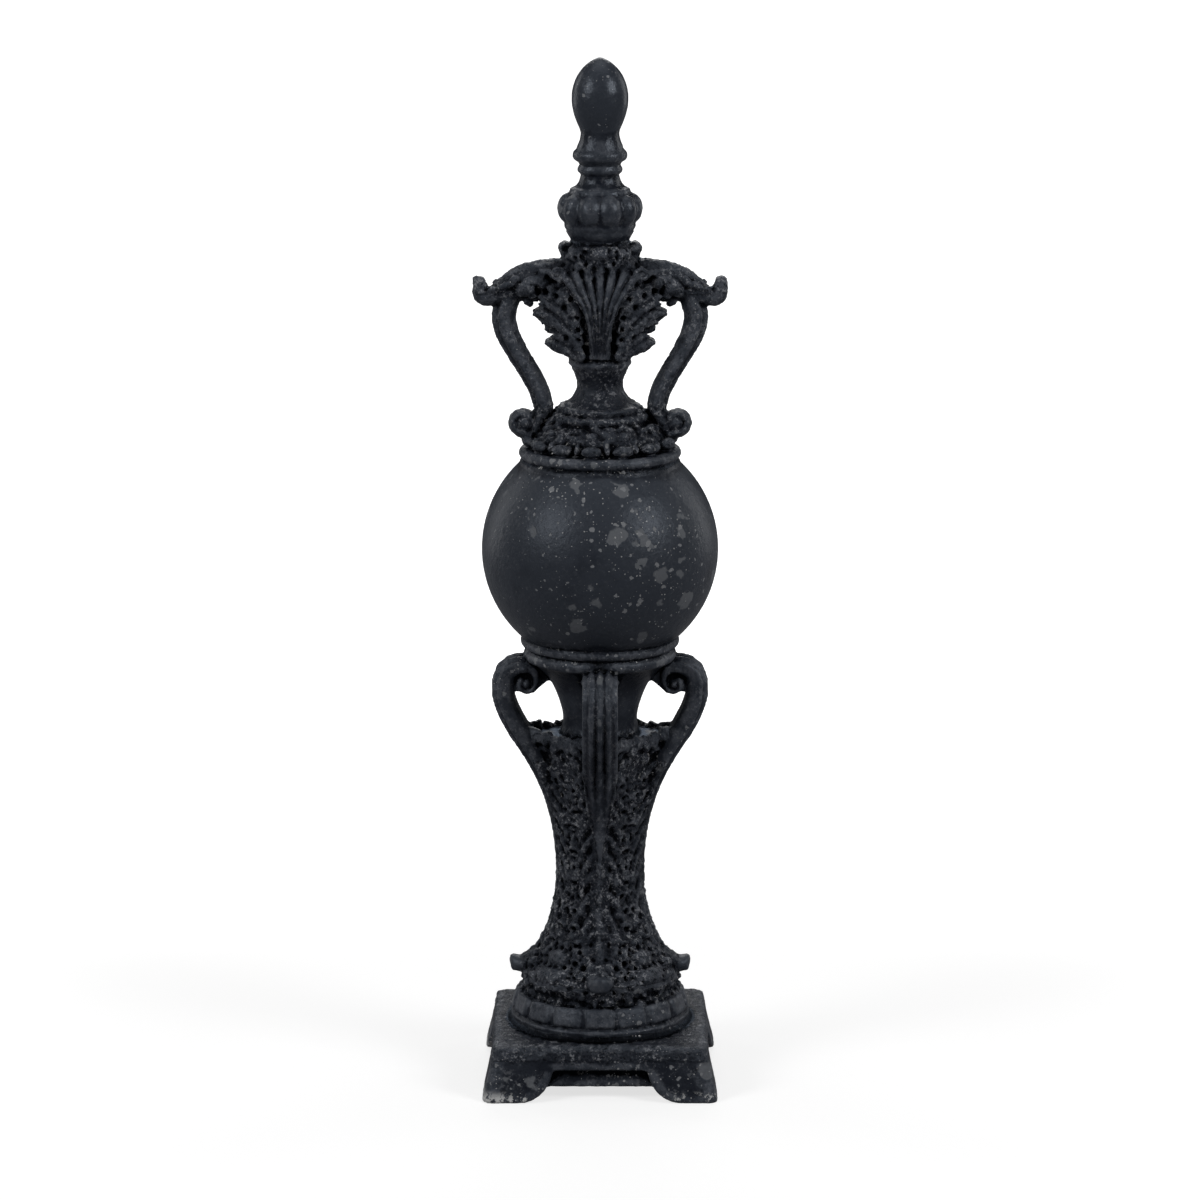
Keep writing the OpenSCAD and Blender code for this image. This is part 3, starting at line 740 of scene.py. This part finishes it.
handle = {"reach": 74.4, "strutX": 55.8, "strutThick": 14.0, "strutWidth": 15.0, "coilR": 9.7, "coilX": 44.2,
          "knobs": 44}


def makeHandle():
    armZ = cupZ + 42
    tip = handle["reach"]
    spine = [(x, 0, armZ + up, t, w) for x, up, t, w in (
        (14, -1, 27, 21), (24, 1.5, 25.5, 20), (34, 1.6, 23.5, 18), (43, 0.2, 21.5, 17), (50, -2.2, 18.5, 16),
        (56, -5.0, 15, 15.5), (61.5, -7.6, 11.6, 14.5), (66, -8.6, 10.8, 13), (tip - 5.6, -7.0, 10.6, 12),
        (tip - 4.7, -3.4, 9.2, 11), (tip - 4.1, 0.2, 7.8, 9.5), (tip - 4.3, 2.4, 6.4, 8), (tip - 4.5, 3.6, 3.8, 5))]
    made = [bentBar("arm", roundSection(18), smoothLine(spine, 3))]
    coilX, coilZ, coilR = handle["coilX"], domeZ + 14.3, handle["coilR"]
    strutX, t, w = handle["strutX"], handle["strutThick"], handle["strutWidth"]
    strut = [(x, 0, armZ - down, thick, w) for x, down, thick in (
        (strutX - 5, 2, t), (strutX - 1.6, 12, t), (strutX + 0.1, 19, t), (55.0, 26, t), (52.4, 33, 13.2),
        (48.2, 41, 12.4), (43.6, 48.5, 12), (39.2, 56, 12), (35.6, 63.5, 12), (33.4, 71, 11.4), (33.0, 77, 10.4))]
    coil = []
    start, sweep, lead = 186, 560, 0.14  # degrees, and the share of them that comes off the strut
    for angle in range(start, start + sweep, 28):
        turn = (angle - start) / sweep
        rad = mix(coilR + 0.9, 1.0, turn ** 0.8) if turn > lead else mix(11.4, 9.0, turn / lead)
        thick = mix(8.4, 2.6, turn ** 0.75)
        rad = min(rad, coilR - thick / 2 + (1.6 if turn < lead else 0))
        a = radians(angle)
        coil.append((coilX + rad * cos(a), 0, coilZ + rad * sin(a), thick, mix(w, w - 2, turn)))
    section = [(0.5, -0.12), (0.5, 0.12), (0.34, 0.26), (0.2, 0.42), (0.02, 0.5), (-0.18, 0.44), (-0.3, 0.3),
               (-0.5, 0.16), (-0.5, -0.16), (-0.3, -0.3), (-0.18, -0.44), (0.02, -0.5), (0.2, -0.42), (0.34, -0.26)]
    made.append(bentBar("strut", section, smoothLine(strut, 3)[:-1] + coil))
    made.append(blob("coilBody", (15.5, w - 1.2, 15.5), (coilX, 0, coilZ), detail=3))
    made.append(blob("coilEye", (6.8, w + 1.6, 6.8), (coilX + 0.4, 0, coilZ + 0.4), detail=3))
    for s in (-1, 1):  # a raised ridge down the strut, with a groove beside it
        ridge = [(x + 1.6, s * (w / 2 - 1.0), z, 3.2, 3.0) for x, _, z, _, _ in strut[1:-1]]
        made.append(bentBar(f"strutRidge_{s}", roundSection(8), smoothLine(ridge, 3)))
        for i in range(handle["knobs"]):  # knobbly leaf work along the arm
            x = uniform(24, 66)
            out = (x - 24) / 42
            top = mix(12.4, 4.6, out ** 1.6)
            z = uniform(-1, 0.72) * top - 6.5 * out ** 1.5
            size = uniform(3.4, 7.0) * mix(1, 0.7, out)
            bulge = sqrt(max(0.05, 1 - (z / max(top, 1)) ** 2 * 0.8))
            made.append(blob(f"armKnob_{s}_{i}", (size, size * 0.9, size),
                             (x, s * mix(10.2, 7.8, out) * bulge, armZ + z), (0, uniform(0, 90), 0), 1))
        petal = [(47, s * 7.4, armZ - 7, 0.5), (44.6, s * 9.2, armZ - 2.6, 1.0), (40.4, s * 9.9, armZ + 1.4, 1.0),
                 (35.4, s * 9.6, armZ + 3.0, 0.7), (31.5, s * 8.8, armZ + 1.2, 0.4)]
        made.append(leafBar(f"petal_{s}", petal, 6.4, 4.6, 1, (0, s, 0)))
        made.append(blob(f"petalEnd_{s}", (8.6, 5.4, 8.2), (41.6, s * 9.2, armZ - 1.8), (0, 20, 0), 3))
    mirrored(made)


# each part is made, then the four ribs' leaves are laid round the shaft
makePlinth()
makeFoot()
print("plinth and foot made")
makeShaft()
ribParts = makeStem()
leafParts = makeLeafSide()
around(ribParts + leafParts + mirrored(leafParts, "Y"), 4)
makeSkirt()
makeRim()
print("shaft and leaves made")
makeTrumpetAndBall()
makeDome()
makeCup()
makeCalyx()
makeKnobToBud()
makeHandle()
print("ball, urn, handles and bud made:", len(casting), "parts")

cast = {"voxel": 0.75, "triangles": 190000, "soften": 2, "leafRelief": 1.6, "grainRelief": 1.0, "pitReach": 7,
        "blur": 7}


def placesOf(mesh):
    flat = np.empty(len(mesh.vertices) * 3, np.float32)
    mesh.vertices.foreach_get("co", flat)
    return flat.reshape(-1, 3)


def moveTo(mesh, co):
    mesh.vertices.foreach_set("co", co.ravel())
    mesh.update()


def drill(co, centre, inward, radius, depth, near):
    away = co[near] - centre
    along = away @ inward
    d = np.linalg.norm(away - along[:, None] * inward, axis=1) / radius
    hit = (d < 1) & (np.abs(along) < cast["pitReach"])
    co[near[hit]] += inward * (depth * (1 - d[hit] ** 2) ** 1.5)[:, None]


def drillEyes(body):  # pits beside the veins of all four ribs, then those of the urn
    co = placesOf(body.data)
    flips = [Matrix.Rotation(pi / 2 * turn, 4, "Z") @ Matrix.Diagonal((1, side, 1, 1)) for turn in range(4)
             for side in (1, -1)]
    corners = [Matrix.Diagonal((sx, sy, 1, 1)) for sx in (1, -1) for sy in (1, -1)]
    for spots, ways in ((eyeSpots, flips), (holeSpots, corners)):
        for spot, radius, depth, out in spots:
            level = np.where(np.abs(co[:, 2] - spot.z) < radius * 1.3)[0]
            for flip in ways:
                drill(co, np.array(flip @ spot), -np.array(flip.to_3x3() @ out), radius, depth, level)
    moveTo(body.data, co)


def fluteFan(body):  # grooves between the strands of the fountain, front and back
    co = placesOf(body.data)
    up = co[:, 2] - cupZ
    gap = np.interp(up, (0, 10, 21, 31, 40, 47, 55), (1.6, 1.7, 2.1, 3.1, 5.0, 6.6, 7.6))
    strand = co[:, 0] / gap
    groove = (0.5 - 0.5 * np.cos(2 * np.pi * strand)) ** 2
    depth = np.interp(up, (0, 3, 12, 30, 44, 54), (0, 1.1, 1.2, 1.4, 1.3, 0.6))
    on = (up > 0) & (up < 54) & (np.abs(strand) < 3.55) & (np.abs(co[:, 1]) > 12)
    co[on, 1] -= np.sign(co[on, 1]) * (groove * depth)[on]
    moveTo(body.data, co)


def sandiness(co):  # how rough each place is, from 0 to 1: later lines win
    r = np.hypot(co[:, 0], co[:, 1])
    z = co[:, 2]
    rough = np.full(len(co), 0.55)
    rough[(z > 24) & (z < plinthTop + 9)] = 0.75
    rough[z < 24] = 0.25
    rough[(z > plinthTop + 1.2) & (z < plinthTop + 21.5) & (r < 56.5)] = 0.22
    rough[(z > plinthTop + 21.5) & (z < collarZ - 2)] = 1.0
    ribHalf = np.interp(z, (waistZ + 6, waistZ + 40, rimZ - 18, rimZ), (0, 5, 10.5, 11.5))
    rough[(z > waistZ + 6) & (np.minimum(np.abs(co[:, 0]), np.abs(co[:, 1])) < ribHalf)] = 0.25
    rough[(r > 46.5) & (z > skirtZ - 3) & (z < skirtZ + 12)] = 0.15
    rough[(z > rimZ) & (z < collarZ - 1)] = 0.25
    rough[(z > rimZ - 2) & (z < collarTop + 2) & (r < 40)] = 0.1
    rough[(z > collarZ - 4) & (z < collarTop + 1)] = 0.2
    rough[(z > collarTop + 1) & (z < upperZ + 1)] = 0.06
    rough[(z > upperZ + 1) & (z < domeZ + 1)] = 0.3
    rough[(z > domeZ + 1) & (z < urnZ)] = 0.95
    rough[(z > urnZ - 1) & (z < cupZ - 2) & (r < 26)] = 0.6
    rough[(z > cupZ - 2) & (z < knobZ)] = 0.9
    rough[(z > cupZ) & (z < cupZ + 50) & (np.abs(co[:, 0]) < 5 + 0.006 * (z - cupZ) ** 2) & (r > 15)] = 0.35
    strut = (z > domeZ) & (z < cupZ + 36) & (r > 31)
    rough[strut & (np.abs(co[:, 0]) > 41 - 0.1 * (z - domeZ))] = 0.5
    rough[z > knobZ + 1] = 0.14
    rough[z > budZ + 2] = 0.05
    return rough


def roughGroup(body):  # the same as a vertex group, in steps of a twentieth
    level = np.round(sandiness(placesOf(body.data)) * 20).astype(int)
    group = body.vertex_groups.new(name="rough")
    for step in np.unique(level):
        group.add(np.where(level == step)[0].tolist(), float(step) / 20, "REPLACE")


def relief(body):
    for name, size, height in (("sandLumps", 3.4, cast["leafRelief"]), ("sandGrain", 1.5, cast["grainRelief"])):
        texture = bpy.data.textures.new(name, "CLOUDS")
        texture.noise_scale = size
        texture.noise_depth = 2
        push = body.modifiers.new(name, "DISPLACE")
        push.texture = texture
        push.texture_coords = "LOCAL"
        push.strength = height
        push.mid_level = 0.5
        push.vertex_group = "rough"
    applyAll(body)


def thin(body):  # fewer triangles where the casting is plain
    body.data.calc_loop_triangles()
    fine = body.modifiers.new("thin", "DECIMATE")
    fine.ratio = min(1.0, cast["triangles"] / len(body.data.loop_triangles))
    fine.use_collapse_triangulate = True
    applyAll(body)


def fitBox(body):  # nothing leaves the box that the solids fill
    co = placesOf(body.data)
    low = np.array(cadBox[0]) * 1000 + 0.02
    high = np.array(cadBox[1]) * 1000 - 0.02
    co = np.clip(co, low, high)
    co[:, 2] = np.where(co[:, 2] < 0.35, 0.0, co[:, 2])
    moveTo(body.data, co)


def hollows(body):  # hollow is 0.5 on plain places, sandy is the rough mask
    mesh = body.data
    co = placesOf(mesh).astype(np.float64)
    ends = np.empty(len(mesh.edges) * 2, np.int64)
    mesh.edges.foreach_get("vertices", ends)
    a, b = ends.reshape(-1, 2).T
    count = np.bincount(a, minlength=len(co)) + np.bincount(b, minlength=len(co))
    normal = np.empty(len(co) * 3, np.float32)
    mesh.vertices.foreach_get("normal", normal)

    def average(values):  # of each point's neighbours
        total = np.zeros_like(values)
        for k in range(values.shape[1]):
            total[:, k] = (np.bincount(a, values[b, k], len(co)) + np.bincount(b, values[a, k], len(co)))
        return total / np.maximum(count, 1)[:, None]

    soft = co
    for _ in range(cast["blur"]):
        soft = average(soft)
    bend = ((soft - co) * normal.reshape(-1, 3)).sum(axis=1)
    bend = average(bend[:, None])[:, 0]
    for name, value in (("hollow", np.clip(0.5 + bend * 0.5, 0, 1)), ("sandy", sandiness(co))):
        layer = mesh.attributes.new(name, "FLOAT", "POINT")
        layer.data.foreach_set("value", value.astype(np.float32))


finial = oneSkin(casting, cast["voxel"], cast["soften"])
finial.name = "finialCasting"
print("joined into one skin:", len(finial.data.vertices), "points")
drillEyes(finial)
fluteFan(finial)
roughGroup(finial)
relief(finial)
thin(finial)
fitBox(finial)
hollows(finial)
finial.vertex_groups.clear()
finial.data.transform(Matrix.Scale(0.001, 4))
only(finial)
bpy.ops.object.shade_smooth()
print("casting finished:", len(finial.data.polygons), "triangles")

# Finish: bluish-black satin paint over the cast body, with grey chips and pale dust, painted shade in hollows and
# painted highlights on ridges and grain tops
# the darkest colour is painted shade; the two light greys for ridges and grain tops are painted highlights
paint = {"black": (0.0092, 0.0112, 0.0168, 1), "worn": (0.031, 0.036, 0.046, 1), "paintedShade": (0.0015, 0.0018, 0.0026, 1),
         "chip": (0.120, 0.126, 0.136, 1), "chipLight": (0.19, 0.195, 0.205, 1), "speck": (0.33, 0.33, 0.33, 1),
         "dust": (0.66, 0.66, 0.65, 1), "paintedGlints": (0.27, 0.276, 0.294, 1), "ridge": (0.084, 0.091, 0.107, 1),
         "sheen": (0.80, 0.88, 1.0, 1), "roughness": 0.40, "gloss": 0.27, "chipRagged": 0.42, "peel": 0.36,
         "sand": 1.1, "grit": 1.7, "wear": 0.20,
         # heights between which more paint has come off, and how much more
         "bands": ((0.049, 0.060, 0.36), (0.250, 0.264, 0.18), (0.372, 0.380, 0.12), (0.500, 0.610, 0.16))}


def addNode(tree, kind, inputs=None, **settings):
    node = tree.nodes.new("ShaderNode" + kind)
    for key, value in settings.items():
        setattr(node, key, value)
    for slot, value in (inputs or {}).items():
        feed(node.inputs[slot], value)
    return node


def clearTree(owner):
    owner.use_nodes = True
    owner.node_tree.nodes.clear()
    return owner.node_tree


def feed(slot, value):  # a socket is linked, anything else is set
    if isinstance(value, bpy.types.NodeSocket):
        slot.id_data.links.new(value, slot)
    else:
        slot.default_value = value


def sums(operation, values):
    tree = next(value.id_data for value in values if isinstance(value, bpy.types.NodeSocket))
    total = values[0]
    for value in values[1:]:
        total = addNode(tree, "Math", {0: total, 1: value}, operation=operation).outputs[0]
    return total


def times(*values):
    return sums("MULTIPLY", values)


def plus(*values):
    return sums("ADD", values)


def minus(*values):
    return sums("SUBTRACT", values)


def most(*values):
    return sums("MAXIMUM", values)


def rising(source, low, high):  # a soft step from 0 at low to 1 at high
    inputs = {"From Min": low, "From Max": high, "Value": source}
    return addNode(source.id_data, "MapRange", inputs, interpolation_type="SMOOTHSTEP").outputs["Result"]


def falling(source, low, high):  # a soft step from 1 at low to 0 at high
    return minus(1.0, rising(source, low, high))


def noise(coords, scale, detail, rough):
    inputs = {"Vector": coords, "Scale": scale, "Detail": detail, "Roughness": rough}
    return addNode(coords.id_data, "TexNoise", inputs).outputs["Fac"]


def blend(amount, under, over):
    return addNode(amount.id_data, "Mix", {0: amount, 6: under, 7: over}, data_type="RGBA").outputs[2]


def flakes(coords, scale, amount, ragged):
    # roundish chips of many sizes, one to a cell, more and larger where amount is high
    tree = coords.id_data
    shake = addNode(tree, "TexNoise", {"Scale": scale * 1.6, "Detail": 3, "Vector": coords})
    centred = addNode(tree, "VectorMath", {0: shake.outputs["Color"], 1: (0.5, 0.5, 0.5)}, operation="SUBTRACT")
    shift = {0: centred.outputs[0], 1: (ragged * 2 / scale,) * 3, 2: coords}
    moved = addNode(tree, "VectorMath", shift, operation="MULTIPLY_ADD")
    cells = addNode(tree, "TexVoronoi", {"Scale": scale, "Vector": moved.outputs[0]})
    lot = addNode(tree, "SeparateColor", {0: cells.outputs["Color"]})
    size = times(amount, sums("POWER", (lot.outputs[0], 2.2)))
    return rising(minus(size, cells.outputs["Distance"]), 0.0, 0.09)


def makePaint():
    material = bpy.data.materials.new("distressedBlackPaint")
    tree = clearTree(material)
    out = addNode(tree, "OutputMaterial")
    skin = addNode(tree, "BsdfPrincipled")
    place = addNode(tree, "TexCoord").outputs["Object"]
    hollow, sandy = (addNode(tree, "Attribute", attribute_name=name, attribute_type="GEOMETRY").outputs["Fac"]
                     for name in ("hollow", "sandy"))
    x, _, z = addNode(tree, "SeparateXYZ", {0: place}).outputs

    cloudy = noise(place, 26, 4, 0.6)
    grain = noise(place, 760, 3, 0.65)
    coarse = noise(place, 330, 3, 0.6)
    peel = noise(place, 280, 3, 0.55)
    where = noise(place, 13, 2, 0.5)
    edge = falling(hollow, 0.2, 0.46)

    # where the paint has come off most: the ball's middle and right, edges, the feet and the plinth's front
    onBall = times(rising(z, 0.266, 0.300), falling(z, 0.340, 0.372), rising(x, -0.055, 0.02))
    worn = plus(times(minus(where, 0.5), 2.0), paint["wear"], times(onBall, 0.34),
                times(falling(z, 0.012, 0.034), 0.28))
    for bottom, top, more in paint["bands"]:
        worn = plus(worn, times(rising(z, bottom, bottom + 0.004), falling(z, top, top + 0.004), more))
    worn = plus(worn, times(edge, 0.16))
    calm = minus(1.0, times(sandy, 0.45))
    big = flakes(place, 78, times(worn, times(calm, 0.95)), paint["chipRagged"])
    small = flakes(place, 215, times(worn, 0.66), 0.40)
    tiny = flakes(place, 560, times(worn, 0.52), 0.25)
    leftToe = falling(x, -0.064, -0.045)
    toes = times(falling(z, 0.0015, 0.008), rising(plus(noise(place, 260, 5, 0.75), times(leftToe, 0.14)), 0.55,
            0.61))

    # black over worn, painted highlights on edges, ridges and grain tops, painted shade in hollows and grain lows,
    # then chips, specks and dust
    # random mottling of the paint, with convex edges lifted as painted highlight
    base = blend(rising(plus(cloudy, times(edge, 0.3)), 0.44, 0.78), paint["black"], paint["worn"])
    onDome = times(rising(z, 0.383, 0.388), falling(z, 0.418, 0.430))
    # painted highlight: convex ridges of the rough relief lightened, less on the dome
    ridge = times(falling(hollow, 0.33, 0.465), rising(noise(place, 120, 4, 0.65), 0.42, 0.60),
                  rising(sandy, 0.07, 0.2), minus(1.0, times(onDome, 0.7)))
    base = blend(times(ridge, 0.65), base, paint["ridge"])
    sand = plus(times(grain, 0.5), times(coarse, 0.5))
    # painted glints: the high points of the sand grain lightened
    paintedGlints = times(rising(sand, 0.53, 0.585), sandy, rising(noise(place, 60, 3, 0.6), 0.38, 0.60))
    base = blend(times(paintedGlints, 0.85), base, paint["paintedGlints"])
    # painted shade: concave hollows and the low points of the sand grain are darkened towards near-black
    deep = most(rising(hollow, 0.56, 0.76), times(falling(sand, 0.38, 0.46), times(sandy, 0.85)))
    base = blend(times(deep, 0.9), base, paint["paintedShade"])
    for chips, share, colour in ((big, 0.85, "chip"), (small, 0.9, "chipLight"), (tiny, 0.9, "speck")):
        base = blend(times(chips, share), base, paint[colour])
    dust = times(rising(hollow, 0.60, 0.74), rising(noise(place, 150, 4, 0.7), 0.60, 0.68),
                 rising(where, 0.46, 0.60))
    dust = most(times(dust, 0.8), times(toes, 0.85))
    feed(skin.inputs["Base Color"], blend(dust, base, paint["dust"]))

    bare = most(big, small, dust)
    dull = plus(paint["roughness"], times(minus(cloudy, 0.5), 0.3), times(bare, 0.25))
    feed(skin.inputs["Roughness"], minus(dull, times(rising(z, 0.495, 0.505), 0.10)))
    feed(skin.inputs["Metallic"], times(deep, 0.9))  # painted shade: hollows and grain lows become black metal, which reflects almost nothing, so they stay dark
    feed(skin.inputs["Specular IOR Level"], paint["gloss"])
    feed(skin.inputs["Specular Tint"], paint["sheen"])

    # heights in millimetres: a fine peel all over, sand where the casting is rough, chips a little sunk
    height = plus(times(peel, paint["peel"]), times(grain, plus(0.05, times(sandy, paint["sand"]))),
                  times(coarse, times(sandy, paint["grit"])))
    bump = addNode(tree, "Bump", {"Strength": 1.0, "Distance": 0.001,
                                  "Height": minus(height, times(most(big, small), 0.10))})
    feed(skin.inputs["Normal"], bump.outputs["Normal"])
    feed(out.inputs["Surface"], skin.outputs["BSDF"])
    return material


finial.data.materials.clear()
finial.data.materials.append(makePaint())
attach(finial, "root")
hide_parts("finial")
print("paint mixed")

studio = {"floorShade": 0.36, "floorLift": 0.722, "bounce": (0.24, 0.24, 0.25, 1), "keyPower": 34, "fillPower": 37,
          "rimPower": 6, "topPower": 9, "backPower": 17, "roomLight": 0.036, "middle": (0, 0, 0.32),
          "camera": (0, -3.0586, 0.9488), "cameraTilt": 77.8, "lens": 159.6}


def seenAs(tree, lit, seen, kind):  # one shader lights the object, another meets the camera
    camera = addNode(tree, "LightPath").outputs["Is Camera Ray"]
    both = addNode(tree, "MixShader", {0: camera, 1: lit.outputs[0], 2: seen.outputs[0]})
    addNode(tree, kind, {"Surface": both.outputs[0]})


def makeFloor():
    clearPick()
    bpy.ops.mesh.primitive_plane_add(size=30, location=(0, 0, 0))
    floor = bpy.context.object
    floor.name = "studioFloor"
    floor.location.z = -0.0002
    material = bpy.data.materials.new("paleFloor")
    tree = clearTree(material)
    shade = addNode(tree, "BsdfDiffuse", {"Color": (studio["floorShade"],) * 3 + (1,)})
    away = addNode(tree, "VectorMath", {0: addNode(tree, "TexCoord").outputs["Object"]}, operation="LENGTH")
    glow = plus(studio["floorLift"], times(rising(away.outputs["Value"], 0.25, 1.1), 0.5))
    lift = addNode(tree, "Emission", {"Strength": glow})
    seen = addNode(tree, "AddShader", {0: shade.outputs[0], 1: lift.outputs[0]})
    bounce = addNode(tree, "BsdfDiffuse", {"Color": studio["bounce"]})
    seenAs(tree, bounce, seen, "OutputMaterial")
    floor.data.materials.append(material)


def makeRoom():  # white to the eye, a plain soft light to the object
    world = bpy.data.worlds.new("studioRoom")
    bpy.context.scene.world = world
    tree = clearTree(world)
    room = addNode(tree, "Background", {"Color": (1, 1, 1, 1), "Strength": studio["roomLight"]})
    white = addNode(tree, "Background", {"Color": (1, 1, 1, 1)})
    seenAs(tree, room, white, "OutputWorld")


def softbox(name, spot, target, width, height, power):
    bpy.ops.object.light_add(type="AREA", location=spot)
    lamp = bpy.context.object
    lamp.name = name
    lamp.data.shape = "RECTANGLE"
    lamp.data.size = width
    lamp.data.size_y = height
    lamp.data.energy = power
    lamp.rotation_euler = (Vector(target) - Vector(spot)).to_track_quat("-Z", "Y").to_euler()


def makeStudio():
    makeFloor()
    makeRoom()
    middle = studio["middle"]
    softbox("leftBox", (-2.0, -1.4, 1.7), middle, 1.0, 1.2, studio["keyPower"])
    softbox("rightBox", (2.05, -1.4, 1.7), middle, 1.0, 1.2, studio["fillPower"])
    softbox("leftRim", (-1.7, 1.2, 0.8), middle, 0.6, 1.6, studio["rimPower"])
    softbox("rightRim", (1.7, 1.2, 0.8), middle, 0.6, 1.6, studio["rimPower"])
    softbox("topBox", (0, 0.2, 2.4), (0, 0, 0.3), 1.6, 1.6, studio["topPower"])
    softbox("backBox", (0, 2.4, 1.7), middle, 1.4, 1.2, studio["backPower"])
    bpy.ops.object.camera_add(location=studio["camera"], rotation=(radians(studio["cameraTilt"]), 0, 0))
    camera = bpy.context.object
    camera.name = "studioCamera"
    camera.data.lens = studio["lens"]
    camera.data.sensor_width = 36
    camera.data.clip_end = 60
    bpy.context.scene.camera = camera
    bpy.context.scene.view_settings.view_transform = "Standard"


makeStudio()
print("studio lit")
